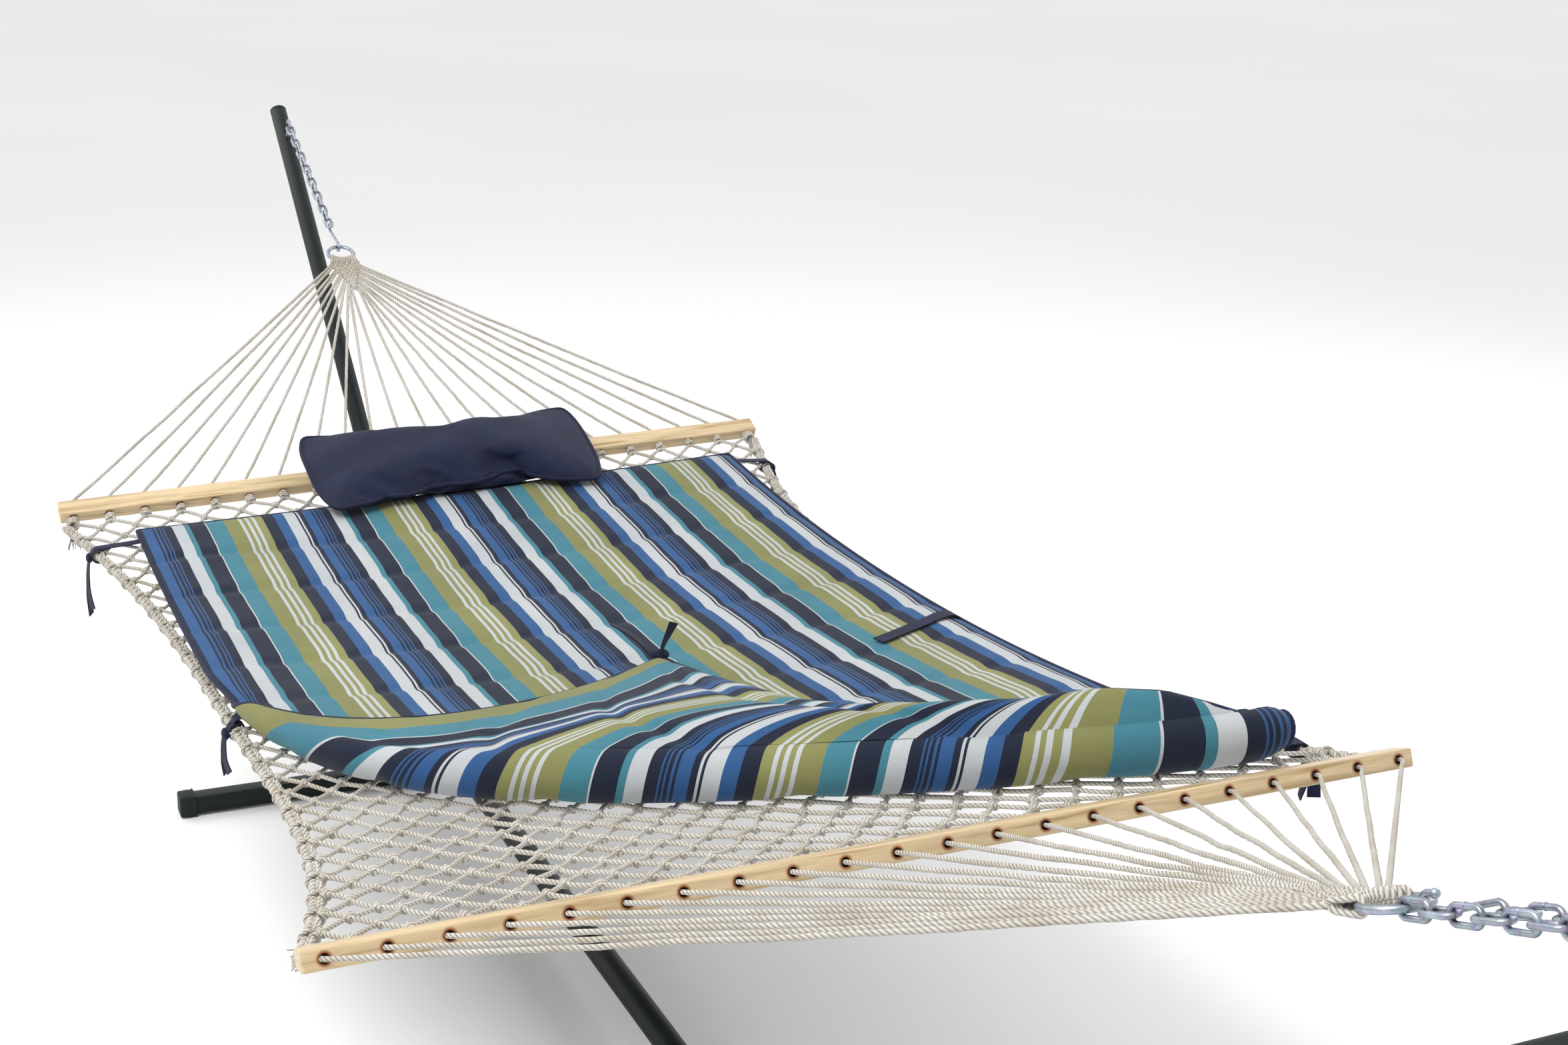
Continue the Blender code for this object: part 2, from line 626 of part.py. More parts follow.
def build_clew(end, ring_distance, rope, pivot):
    """Twenty-two cords from the bar's holes to a woven point that is looped round the ring."""
    centre = end.along(ring_distance)
    inner = RING_R + RING_WIRE_R + 2 * GAP
    tip = RING_R + WEAVE_LENGTH
    outline = []
    steps = 8
    for i in range(steps + 1):
        angle = WEAVE_SPREAD * (1 - 2 * i / steps)
        outline.append(centre + inner * (math.cos(angle) * end.pull + math.sin(angle) * Y_AXIS))
    for y in (-0.006, 0.006):
        outline.append(centre + tip * end.pull + y * Y_AXIS)
    bm = bmesh.new()
    stack(bm, [[point + z * end.normal for point in outline] for z in (-WEAVE_T / 2, WEAVE_T / 2)])
    weave = make_object("clew_" + end.name, bm, rope, pivot)

    pieces = []
    wrap = RING_WIRE_R + CORD_R + 2 * GAP
    for i in range(-2, 3):
        angle = WEAVE_SPREAD * 0.8 * i / 2
        outward = math.cos(angle) * end.pull + math.sin(angle) * Y_AXIS
        path = circle(centre + RING_R * outward, outward, end.normal, wrap, 8)
        tangent = outward.cross(end.normal)
        pieces.append(solid_rod(f"wrap_{end.name}_{i}", path, CORD_R, 6, rope, pivot, tangent, closed=True))

    face = BAR_DEPTH / 2
    for i in range(CORDS):
        hole = hole_centre(end, i)
        place = (i - (CORDS - 1) / 2) / ((CORDS - 1) / 2)
        distance = inner + 0.008 + (tip - inner - 0.016) * (1 - abs(place))
        side = math.copysign(0.6 * weave_half_width(distance), place)
        start = centre + distance * end.pull + side * Y_AXIS
        knot = face + 2 * GAP
        path = [start, hole - (face + 0.004) * end.pull, hole + knot * end.pull,
                hole + (knot + 0.3 * KNOT_LENGTH) * end.pull, hole + (knot + KNOT_LENGTH) * end.pull]
        radii = [CORD_R, CORD_R, CORD_R, KNOT_R, CORD_R]
        bm = bmesh.new()
        stack(bm, sweep(path, radii, 5))
        pieces.append(make_object(f"cord_{end.name}_{i}", bm, rope, pivot))
    fuse(weave, pieces)


# ---------------------------------------------------------------- net
NET_HEAD = HEAD.bar + NET_START * HEAD.pull
NET_FOOT = FOOT.bar + NET_START * FOOT.pull


def net_share(x):
    """Place along the net, -1 at the head end and 1 at the foot end."""
    return 2 * (x - NET_HEAD.x) / (NET_FOOT.x - NET_HEAD.x) - 1


def net_half_width(x):
    s = net_share(x)
    return NET_HALF_WIDTH - NET_WAIST * (1 - min(abs(s), 1) ** WAIST_POWER) * (1 + WAIST_SHIFT * s)


def net_z(x, y):
    """Middle surface of the net."""
    s = net_share(x)
    t = (s + 1) / 2
    tilt = HEAD_TILT + (FOOT_TILT - HEAD_TILT) * t
    line = NET_HEAD.z + (NET_FOOT.z - NET_HEAD.z) * t + y * math.sin(tilt)
    hang = max(1 - s * s, 0.0)
    across = min(abs(y) / net_half_width(x), 1.0)
    return line - NET_SAG * hang * (1 + NET_SAG_SHIFT * s) - NET_BELLY * hang * (1 - across ** 2)


def slab(name, columns, rows, point, mat, pivot):
    """A closed sheet: point(i, j, top) gives its upper and lower points on a grid."""
    bm = bmesh.new()
    grid = {}
    for top in (0, 1):
        for i in range(columns + 1):
            for j in range(rows + 1):
                grid[top, i, j] = bm.verts.new(point(i / columns, j / rows, top))
    for i in range(columns):
        for j in range(rows):
            for top in (0, 1):
                bm.faces.new((grid[top, i, j], grid[top, i + 1, j], grid[top, i + 1, j + 1], grid[top, i, j + 1]))
    rim = [(i, 0) for i in range(columns)] + [(columns, j) for j in range(rows)]
    rim += [(i, rows) for i in range(columns, 0, -1)] + [(0, j) for j in range(rows, 0, -1)]
    for (i, j), (k, m) in zip(rim, rim[1:] + rim[:1]):
        bm.faces.new((grid[0, i, j], grid[0, k, m], grid[1, k, m], grid[1, i, j]))
    return make_object(name, bm, mat, pivot)


def build_net(rope, pivot):
    def net_point(u, v, top):
        x = NET_HEAD.x + (NET_FOOT.x - NET_HEAD.x) * u
        y = (2 * v - 1) * (net_half_width(x) - 2 * EDGE_ROPE_R - 2 * GAP)
        return Vector((x, y, net_z(x, y) + (top - 0.5) * NET_T))

    slab("net", 20, 10, net_point, rope, pivot)
    for name, side in (("left", -1), ("right", 1)):
        path = []
        for i in range(21):
            x = NET_HEAD.x + (NET_FOOT.x - NET_HEAD.x) * i / 20
            y = side * (net_half_width(x) - EDGE_ROPE_R)
            path.append(Vector((x, y, net_z(x, y) + NET_T / 2 - EDGE_ROPE_R)))
        solid_rod("edge_rope_" + name, path, EDGE_ROPE_R, 8, rope, pivot, Y_AXIS)


# ---------------------------------------------------------------- pad, pillow and ties
def smooth_step(value):
    value = min(max(value, 0.0), 1.0)
    return value * value * (3 - 2 * value)


def between(table, value):
    """Straight lines through the points of a table."""
    for (x0, y0), (x1, y1) in zip(table, table[1:]):
        if value <= x1:
            return y0 + (y1 - y0) * max(value - x0, 0.0) / (x1 - x0)
    return table[-1][1]


def fold_x(share):
    """Where the pad is folded over, for a share of its width from the -Y edge."""
    return between(FOLD, share)


def flap_edge_x(y):
    """Free edge of the folded part, seen from above."""
    return between(FLAP_EDGE, y)


def pad_top(x, y):
    """Height of the pad's upper side over its lower side."""
    share = (y + PAD_HALF_WIDTH) / (2 * PAD_HALF_WIDTH)
    climb = smooth_step((x - flap_edge_x(y)) / 0.06)
    height = FLAP_LOW + (FLAP_HIGH - FLAP_LOW) * smooth_step((x - FOLD_START_X) / 0.8)
    fold = fold_x(min(max(share, 0.0), 1.0))
    roundness = math.sqrt(min(max((fold - x) / 0.05, 0.0), 1.0))
    edge = min(PAD_HALF_WIDTH - abs(y), x - PAD_HEAD_X)
    hem = 0.55 + 0.45 * smooth_step(edge / 0.05)
    return (PAD_T + (height - PAD_T) * climb) * hem * (0.35 + 0.65 * roundness)


def pad_floor(x, y):
    return net_z(x, y) + NET_T / 2 + PAD_LIFT


def build_pad(fabric, pivot):
    def pad_point(u, v, top):
        share = 0.02 + 0.98 * v
        y = PAD_HALF_WIDTH * (2 * share - 1)
        x = PAD_HEAD_X + (fold_x(share) - PAD_HEAD_X) * u
        return Vector((x, y, pad_floor(x, y) + top * pad_top(x, y)))

    slab("pad", 22, 16, pad_point, fabric, pivot)


def build_pillow(fabric, pivot):
    """A crowned pillow that lies on the pad's head end and over the spreader bar."""
    half = PILLOW_SIZE / 2
    corner = Vector((PILLOW_X + half.x, PILLOW_Y + half.y, 0))
    seat_front = pad_floor(PAD_HEAD_X + 0.02, PILLOW_Y) + PAD_T
    bar_top = HEAD_BAR.z + corner.y * math.sin(HEAD_TILT) + BAR_DEPTH / 2
    floor = max(seat_front, bar_top) + 4 * GAP

    def pillow_point(u, v, top):
        a, b = 2 * u - 1, 2 * v - 1
        bulge = ((1 - a ** 4) * (1 - b ** 6)) ** 0.5
        pull = 1 - 0.06 * (1 - b * b) * abs(a) ** 3
        waist = 1 - 0.05 * (1 - a * a) * abs(b) ** 3
        rise = half.z + (0.006 + (half.z - 0.006) * bulge) * (2 * top - 1)
        lean = (PILLOW_Y + b * half.y) * math.sin(HEAD_TILT) * 0.8
        return Vector((PILLOW_X + a * half.x * pull, PILLOW_Y + b * half.y * waist, floor + rise + lean))

    slab("pillow", 8, 12, pillow_point, fabric, pivot)


def ribbon(name, path, width_axis, fabric, pivot):
    """A flat strap along a path, its width along one axis."""
    directions = tangents(path)
    rings = []
    for point, direction in zip(path, directions):
        across = (width_axis - width_axis.dot(direction) * direction).normalized()
        rings.append(rectangle(point, across, direction.cross(across), TIE_WIDTH, TIE_T))
    bm = bmesh.new()
    stack(bm, rings)
    make_object(name, bm, fabric, pivot, smooth=False)


def build_ties(fabric, pivot):
    along = Vector((1, 0, 0))

    def hanging(name, x, side, drop):
        """A strap that is tied round the edge rope and hangs on its outer side."""
        widest = max(net_half_width(x + dx) for dx in (-TIE_WIDTH / 2, TIE_WIDTH / 2))
        y = side * (widest + GAP + TIE_T)
        z = net_z(x, y) + 0.012
        path = [Vector((x, y, z)), Vector((x, y, z - drop * 0.45)),
                Vector((x, y + side * 0.006, z - drop * 0.75)), Vector((x, y + side * 0.008, z - drop))]
        ribbon(name, path, along, fabric, pivot)

    hanging("tie_head_left", PAD_HEAD_X + 0.02, -1, 0.110)
    hanging("tie_head_right", PAD_HEAD_X + 0.02, 1, 0.110)
    hanging("tie_mid_left", FOLD_START_X - 0.02, -1, 0.060)
    hanging("tie_foot_right", FOLD_END_X - 0.08, 1, 0.070)

    lying = []
    for i in range(6):
        x = FOLD_START_X + 0.06 + 0.010 * i
        y = PAD_HALF_WIDTH - 0.012 - 0.030 * i
        lying.append(Vector((x, y, pad_floor(x, y) + PAD_T + 1.5 * TIE_T)))
    ribbon("tie_mid_right", lying, along, fabric, pivot)

    x, y = FLAP_CORNER.x - 0.005, FLAP_CORNER.y - 0.045
    z = 2 * GAP + max(pad_floor(x + dx, y + dy) + pad_top(x + dx, y + dy)
                      for dx in (-0.05, 0, 0.05) for dy in (-0.05, 0, 0.05))
    upright = [Vector((x, y, z + 0.018 * i)) + Vector((-0.006, -0.007, 0)) * i for i in range(5)]
    ribbon("tie_foot_left", upright, along, fabric, pivot)


# ---------------------------------------------------------------- the whole object
def main():
    clear_scene()
    steel = make_material("green_powder_coat", (0.012, 0.040, 0.036), 0.45)
    plastic = make_material("black_plastic", (0.010, 0.018, 0.018), 0.55)
    zinc = make_material("zinc_plated_steel", (0.55, 0.57, 0.60), 0.32, 1.0)
    wood = make_material("varnished_oak", (0.60, 0.42, 0.22), 0.45)
    rope = make_material("cotton_rope", (0.74, 0.70, 0.62), 0.90)
    stripes = make_material("striped_fabric", (0.05, 0.18, 0.45), 0.85)
    navy = make_material("navy_fabric", (0.010, 0.020, 0.090), 0.80)

    frame = make_empty("stand_frame", Vector((0, 0, 0)))
    pivot = make_empty("swing_pivot", Vector((0, 0, HEAD.hook.z)))
    build_stand(frame, steel, plastic, zinc)
    head_ring = build_head_chain(zinc, pivot)
    foot_ring = build_foot_chain(zinc, pivot)
    for end, distance in ((HEAD, head_ring), (FOOT, foot_ring)):
        ring(end, distance, zinc, pivot)
        build_bar(end, wood, pivot)
        build_clew(end, distance, rope, pivot)
    build_net(rope, pivot)
    build_pad(stripes, pivot)
    build_pillow(navy, pivot)
    build_ties(navy, pivot)


main()
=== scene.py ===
"""Looks of a rope hammock with a quilted pad, hung by chains in a tube stand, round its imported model."""

import json
import math
import random

import bpy
import numpy as np
from bpy.props import FloatProperty, FloatVectorProperty, IntProperty, PointerProperty
from mathutils import Matrix, Vector, noise


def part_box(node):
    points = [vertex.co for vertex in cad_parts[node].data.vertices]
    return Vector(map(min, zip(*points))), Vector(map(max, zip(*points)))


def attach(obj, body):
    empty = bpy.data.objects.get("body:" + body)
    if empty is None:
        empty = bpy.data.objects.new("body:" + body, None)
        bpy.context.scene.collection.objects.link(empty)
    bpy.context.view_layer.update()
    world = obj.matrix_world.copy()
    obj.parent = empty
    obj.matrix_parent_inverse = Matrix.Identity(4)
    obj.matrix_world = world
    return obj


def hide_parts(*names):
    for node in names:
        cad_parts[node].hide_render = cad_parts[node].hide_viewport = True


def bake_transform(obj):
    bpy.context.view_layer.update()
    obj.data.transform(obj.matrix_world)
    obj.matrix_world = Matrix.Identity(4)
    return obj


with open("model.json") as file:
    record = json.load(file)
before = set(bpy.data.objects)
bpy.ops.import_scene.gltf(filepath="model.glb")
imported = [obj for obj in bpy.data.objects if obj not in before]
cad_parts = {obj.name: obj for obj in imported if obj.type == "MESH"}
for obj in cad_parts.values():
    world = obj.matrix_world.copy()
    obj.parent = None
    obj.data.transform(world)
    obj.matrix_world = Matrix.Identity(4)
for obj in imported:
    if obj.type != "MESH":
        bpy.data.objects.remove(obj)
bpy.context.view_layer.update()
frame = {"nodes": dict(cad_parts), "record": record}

bl_info = {
    "name": "Hammock on Stand",
    "version": (1, 0, 0),
    "blender": (4, 5, 0),
    "location": "3D View > Sidebar > Hammock",
    "description": "Builds the ropes, net, pad, pillow, chains and tubes of a hammock round its packed model",
    "category": "Object",
}

X_AXIS, Y_AXIS, Z_AXIS = Vector((1, 0, 0)), Vector((0, 1, 0)), Vector((0, 0, 1))


# ---------------------------------------------------------------- sizes and colours that a user would change
def length(name, description, default):
    return FloatProperty(name=name, description=description, default=default, unit="LENGTH", precision=4)


def colour(name, description, default):
    return FloatVectorProperty(name=name, description=description, default=default, subtype="COLOR", size=3)


class HammockSizes(bpy.types.PropertyGroup):
    """Sizes of the ropes, fabric and small parts"""

    cord_count: IntProperty(name="Cords", description="Cords of each clew, one for each hole", default=22)
    net_rows: IntProperty(name="Net rows", description="Rows of knots along the net", default=54)
    cord: length("Cord radius", "Radius of the cotton cord", 0.0032)
    cord_lay: length("Cord lay", "Length in which a strand turns once round its cord", 0.021)
    hole_pitch: length("Hole pitch", "From one hole of a spreader bar to the next", 0.0643)
    hole: length("Hole radius", "Radius of the holes of a spreader bar", 0.005)
    bar_depth: length("Bar depth", "Spreader bar along its holes", 0.038)
    bar_height: length("Bar height", "Spreader bar across its holes", 0.024)
    bar_end: length("Bar end", "From the last hole to the end of a bar", 0.023)
    net_start: length("Net start", "From the middle of a bar to the first knots", 0.0335)
    net_sag: length("Net sag", "How far the edges of the net hang below a straight line", 0.088)
    net_belly: length("Net belly", "How far its middle hangs below its edges", 0.030)
    link_wire: length("Link wire", "Radius of a chain link's wire", 0.0029)
    link_pitch: length("Link pitch", "Inner length of a link", 0.0286)
    link_inner: length("Link width", "Inner width of a link", 0.009)
    ring: length("Ring radius", "Radius of a ring on the middle of its wire", 0.028)
    ring_wire: length("Ring wire", "Radius of a ring's wire", 0.004)
    pad_thickness: length("Pad thickness", "Quilted pad between its seams", 0.030)
    quilt: length("Quilting", "From one seam across the pad to the next", 0.175)
    piping: length("Piping", "Radius of the corded edge of the pad and the pillow", 0.0042)


class HammockColours(bpy.types.PropertyGroup):
    """Colours of the finishes"""

    coat: colour("Powder coat", "Dark green coat of the tubes", (0.0045, 0.0085, 0.0090))
    plastic: colour("End caps", "Green-black plastic", (0.0050, 0.0090, 0.0090))
    zinc: colour("Zinc", "Zinc of chains, hooks and bolts", (0.34, 0.37, 0.43))
    oak: colour("Oak", "Light wood of the bars", (0.60, 0.48, 0.30))
    oak_dark: colour("Oak grain", "Darker grain of the bars", (0.42, 0.29, 0.14))
    cotton: colour("Cotton", "Undyed cotton of the ropes", (0.53, 0.50, 0.45))
    navy: colour("Navy", "Navy stripes and canvas", (0.0085, 0.0130, 0.0300))
    blue: colour("Blue", "Blue stripes", (0.0220, 0.0800, 0.2100))
    teal: colour("Teal", "Teal stripes", (0.0450, 0.1750, 0.2250))
    olive: colour("Olive", "Olive stripes", (0.1950, 0.1950, 0.0730))
    white: colour("White", "White stripes", (0.4300, 0.4500, 0.4600))
    edge: colour("Piping", "Corded edges and ties", (0.0085, 0.0125, 0.0400))


def sizes():
    return bpy.context.scene.hammock_sizes


def colours():
    return bpy.context.scene.hammock_colours


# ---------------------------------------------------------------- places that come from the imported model
def middle(node):
    low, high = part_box(node)
    return (low + high) / 2


def size_of(node):
    low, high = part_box(node)
    return high - low


PIVOT = Vector(frame["record"]["behaviour"]["joints"][0]["pos_m"])
SIDES = {"head": -1, "foot": 1}
TILTS = {"head": math.radians(2.33), "foot": math.radians(0.36)}    # lean of each spreader bar


class End:
    """Lines and directions at one end of the hammock."""

    def __init__(self, name):
        self.name = name
        self.side = SIDES[name]
        self.ring = middle("ring_" + name)
        self.bar = middle("spreader_bar_" + name)
        self.bar.y = 0.0
        self.bar_axis = Vector((0, math.cos(TILTS[name]), math.sin(TILTS[name])))
        rise = (PIVOT.z - self.ring.z) / (self.bar.z - self.ring.z)
        self.hook = self.ring + rise * (self.bar - self.ring)
        self.pull = (self.bar - self.hook).normalized()
        self.normal = Y_AXIS.cross(self.pull)
        self.ring_distance = (self.ring - self.hook).length
        tube = size_of("arm_" + name)
        angle = 0.7
        for _ in range(20):
            angle = math.atan2(tube.z - tube.y * math.cos(angle), tube.x - tube.y * math.sin(angle))
        self.angle = angle
        self.arm = Vector((self.side * math.cos(angle), 0, math.sin(angle)))
        self.inward = Vector((-self.side * math.sin(angle), 0, math.cos(angle)))
        self.arm_middle = middle("arm_" + name)
        self.arm_radius = tube.y / 2
        self.arm_length = (tube.z - tube.y * math.cos(angle)) / math.sin(angle)

    def along(self, distance, across=0.0, off=0.0):
        """A point on the line from the hook to the bar, moved across and along the clew's normal."""
        return self.hook + distance * self.pull + across * Y_AXIS + off * self.normal

    def hole(self, index):
        count = sizes().cord_count
        return self.bar + (index - (count - 1) / 2) * sizes().hole_pitch * self.bar_axis


HEAD, FOOT = End("head"), End("foot")
ENDS = (HEAD, FOOT)


# ---------------------------------------------------------------- shapes of the bed
NET_HALF, NET_WAIST = 0.700, 0.1166     # half the net's width at a bar, and how far it draws in


def smooth_step(value):
    value = min(max(value, 0.0), 1.0)
    return value * value * (3 - 2 * value)


def net_ends():
    start = sizes().net_start
    return HEAD.bar + start * HEAD.pull, FOOT.bar + start * FOOT.pull


def net_share(x):
    """Place along the net, -1 at the head end and 1 at the foot end."""
    head, foot = net_ends()
    return 2 * (x - head.x) / (foot.x - head.x) - 1


def net_half_width(x):
    s = net_share(x)
    return NET_HALF - NET_WAIST * (1 - min(abs(s), 1) ** 2.9) * (1 + 0.13 * s)


def net_z(x, y):
    """Middle surface of the net."""
    head, foot = net_ends()
    s = net_share(x)
    t = (s + 1) / 2
    tilt = TILTS["head"] + (TILTS["foot"] - TILTS["head"]) * t
    line = head.z + (foot.z - head.z) * t + y * math.sin(tilt)
    hang = max(1 - s * s, 0.0)
    across = min(abs(y) / net_half_width(x), 1.0)
    return line - sizes().net_sag * hang * (1 + 0.07 * s) - sizes().net_belly * hang * (1 - across ** 2)


def deselect():
    if bpy.context.mode != "OBJECT":
        bpy.ops.object.mode_set(mode="OBJECT")
    bpy.ops.object.select_all(action="DESELECT")


def activate(item):
    deselect()
    item.select_set(True)
    bpy.context.view_layer.objects.active = item


def settle(item):
    """Take an object's place into its mesh."""
    activate(item)
    bpy.ops.object.transform_apply(location=True, rotation=True, scale=True)


def frame_matrix(origin, x_axis, y_axis, z_axis):
    turn = Matrix((x_axis, y_axis, z_axis)).transposed().to_4x4()
    return Matrix.Translation(origin) @ turn


def place(item, origin, x_axis, y_axis, z_axis):
    item.matrix_world = frame_matrix(origin, x_axis, y_axis, z_axis)
    bpy.context.view_layer.update()
    settle(item)


def apply_modifier(item, name):
    activate(item)
    bpy.ops.object.modifier_apply(modifier=name)


def bevel(item, width, segments=3, angle=40):
    modifier = item.modifiers.new("edges", "BEVEL")
    modifier.width = width
    modifier.segments = segments
    modifier.limit_method = "ANGLE"
    modifier.angle_limit = math.radians(angle)
    apply_modifier(item, "edges")


def join(items):
    """Join several objects into the first one."""
    deselect()
    for item in items:
        item.select_set(True)
    bpy.context.view_layer.objects.active = items[0]
    bpy.ops.object.join()
    return items[0]


def finish_piece(item, name, finish, body, *nodes, angle=35):
    """Name a piece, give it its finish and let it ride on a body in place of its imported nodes."""
    item.name = name
    item.data.name = name
    settle(item)
    item.data.materials.clear()
    item.data.materials.append(finish_of(finish))
    activate(item)
    bpy.ops.object.shade_smooth_by_angle(angle=math.radians(angle))
    if body:
        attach(item, body)
    if nodes:
        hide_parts(*nodes)


def new_mesh(name, points, faces, uvs=None):
    """An object from points and faces; uvs holds a pair for each corner of each face."""
    mesh = bpy.data.meshes.new(name)
    mesh.from_pydata([tuple(p) for p in points], [], faces)
    if uvs is not None:
        layer = mesh.uv_layers.new(name="UVMap")
        layer.data.foreach_set("uv", np.asarray(uvs, np.float32).ravel())
    mesh.update()
    item = bpy.data.objects.new(name, mesh)
    bpy.context.scene.collection.objects.link(item)
    return item


def arc(heart, first, second, stop, count):
    """Points round an arc, from the end of the first half-axis towards the end of the second."""
    angles = [stop * i / count for i in range(count + 1)]
    return [heart + math.cos(angle) * first + math.sin(angle) * second for angle in angles]


def ball(centre, radii):
    """A round or flattened lump."""
    deselect()
    bpy.ops.mesh.primitive_uv_sphere_add(segments=20, ring_count=12, radius=1.0, location=centre)
    item = bpy.context.object
    item.scale = radii
    settle(item)
    return item


def resample(path, step):
    """Points along a smooth curve through the path's points, a step apart."""
    points = [Vector(p) for p in path]
    ends = [2 * points[0] - points[1]] + points + [2 * points[-1] - points[-2]]
    fine = []
    for p0, p1, p2, p3 in zip(ends, ends[1:], ends[2:], ends[3:]):
        count = max(int(math.ceil((p2 - p1).length / step)), 1)
        for i in range(count):
            t = i / count
            fine.append(0.5 * ((2 * p1) + (p2 - p0) * t + (2 * p0 - 5 * p1 + 4 * p2 - p3) * t * t
                               + (3 * p1 - p0 - 3 * p2 + p3) * t ** 3))
    fine.append(points[-1])
    return fine


def sweep(paths, radius, sides=9, step=0.004, strands=0, lay=0.02, groove=0.2, taper=None, closed=False):
    """Tubes along several paths; with strands their section has lobes that turn along the path."""
    points, faces, uvs = [], [], []
    angles = np.arange(sides) * 2 * math.pi / sides
    for path in paths:
        line = np.array([tuple(p) for p in (path if step is None else resample(path, step))])
        if closed:
            along = np.roll(line, -1, 0) - np.roll(line, 1, 0)
        else:
            along = np.gradient(line, axis=0)
        along /= np.linalg.norm(along, axis=1)[:, None] + 1e-12
        travel = np.concatenate([[0], np.cumsum(np.linalg.norm(np.diff(line, axis=0), axis=1))])
        side = np.cross(along[0], (0, 0, 1) if abs(along[0][2]) < 0.9 else (1, 0, 0))
        base = len(points)
        count = len(line)
        for i in range(count):
            side = side - along[i] * (side @ along[i])
            side /= np.linalg.norm(side) + 1e-12
            up = np.cross(along[i], side)
            reach = radius if taper is None else radius * taper(i / (count - 1))
            ring = np.full(sides, reach)
            if strands:
                turn = 2 * math.pi * travel[i] / lay
                ring = reach * (1 - groove * (1 - np.abs(np.cos(strands * (angles - turn) / 2))))
            points.extend(line[i] + np.outer(ring * np.cos(angles), side)
                          + np.outer(ring * np.sin(angles), up))
        rows = count if closed else count - 1
        for i in range(rows):
            j = (i + 1) % count
            v0, v1 = travel[i], travel[j] if j else travel[i] + 1e-3
            for k in range(sides):
                m = (k + 1) % sides
                here, there = base + i * sides, base + j * sides
                faces.append((here + k, here + m, there + m, there + k))
                u0, u1 = k / sides, (k + 1) / sides
                uvs.extend(((u0, v0), (u1, v0), (u1, v1), (u0, v1)))
        if not closed:
            faces.append(tuple(base + k for k in range(sides))[::-1])
            faces.append(tuple(base + (count - 1) * sides + k for k in range(sides)))
            uvs.extend([(0.5, travel[0])] * sides + [(0.5, travel[-1])] * sides)
    return points, faces, uvs


def rope(name, paths, radius, **options):
    s = sizes()
    options.setdefault("strands", 3)
    options.setdefault("lay", s.cord_lay)
    return new_mesh(name, *sweep(paths, radius, **options))


def rod(name, paths, radius, **options):
    return new_mesh(name, *sweep(paths, radius, **options))


# ---------------------------------------------------------------- shader groups
def new_group(name, inputs, outputs):
    """An empty shader group with named sockets; inputs and outputs give (name, kind, default)."""
    group = bpy.data.node_groups.new(name, "ShaderNodeTree")
    for label, kind, default in inputs:
        socket = group.interface.new_socket(label, in_out="INPUT", socket_type=kind)
        if default is not None:
            socket.default_value = default
    for label, kind in outputs:
        group.interface.new_socket(label, in_out="OUTPUT", socket_type=kind)
    return group, group.nodes.new("NodeGroupInput"), group.nodes.new("NodeGroupOutput")


def math_node(tree, operation, first, second=None, clamp=False):
    node = tree.nodes.new("ShaderNodeMath")
    node.operation = operation
    node.use_clamp = clamp
    for socket, value in zip(node.inputs, (first, second)):
        if value is None:
            continue
        if isinstance(value, (int, float)):
            socket.default_value = value
        else:
            tree.links.new(value, socket)
    return node.outputs[0]


def grain_group():
    """Stretched fibres along Y with slow rings, as in sawn oak."""
    group, inside, out = new_group("wood_grain", [("Vector", "NodeSocketVector", None)],
                                   [("Grain", "NodeSocketFloat"), ("Pores", "NodeSocketFloat")])
    for label, stretch, detail, distortion in (("Grain", (60, 3.5, 60), 5, 1.2),
                                               ("Pores", (900, 28, 900), 2, 0.0)):
        scale = group.nodes.new("ShaderNodeMapping")
        scale.inputs["Scale"].default_value = stretch
        group.links.new(inside.outputs["Vector"], scale.inputs["Vector"])
        fibres = group.nodes.new("ShaderNodeTexNoise")
        fibres.inputs["Scale"].default_value = 1.0
        fibres.inputs["Detail"].default_value = detail
        fibres.inputs["Distortion"].default_value = distortion
        group.links.new(scale.outputs[0], fibres.inputs["Vector"])
        group.links.new(fibres.outputs["Fac"], out.inputs[label])
    return group


def mottle_group():
    """Two sizes of noise, for uneven colour and gloss."""
    group, inside, out = new_group(
        "mottle", [("Vector", "NodeSocketVector", None), ("Coarse", "NodeSocketFloat", 12.0),
                   ("Fine", "NodeSocketFloat", 400.0)],
        [("Coarse", "NodeSocketFloat"), ("Fine", "NodeSocketFloat")])
    for label in ("Coarse", "Fine"):
        cloud = group.nodes.new("ShaderNodeTexNoise")
        cloud.inputs["Detail"].default_value = 4
        group.links.new(inside.outputs["Vector"], cloud.inputs["Vector"])
        group.links.new(inside.outputs[label], cloud.inputs["Scale"])
        group.links.new(cloud.outputs["Fac"], out.inputs[label])
    return group


def weave_group():
    """Crossing threads of a plain weave; the count is threads for each unit of the vector."""
    group, inside, out = new_group(
        "weave", [("Vector", "NodeSocketVector", None), ("Across", "NodeSocketFloat", 900.0),
                  ("Along", "NodeSocketFloat", 900.0)], [("Height", "NodeSocketFloat")])
    split = group.nodes.new("ShaderNodeSeparateXYZ")
    group.links.new(inside.outputs["Vector"], split.inputs[0])
    waves = []
    for axis, label in ((0, "Across"), (1, "Along")):
        turn = math_node(group, "MULTIPLY", split.outputs[axis], inside.outputs[label])
        waves.append(math_node(group, "SINE", math_node(group, "MULTIPLY", turn, 2 * math.pi)))
    height = math_node(group, "MULTIPLY", waves[0], waves[1])
    half = math_node(group, "MULTIPLY", height, 0.5)
    group.links.new(math_node(group, "ADD", half, 0.5), out.inputs["Height"])
    return group


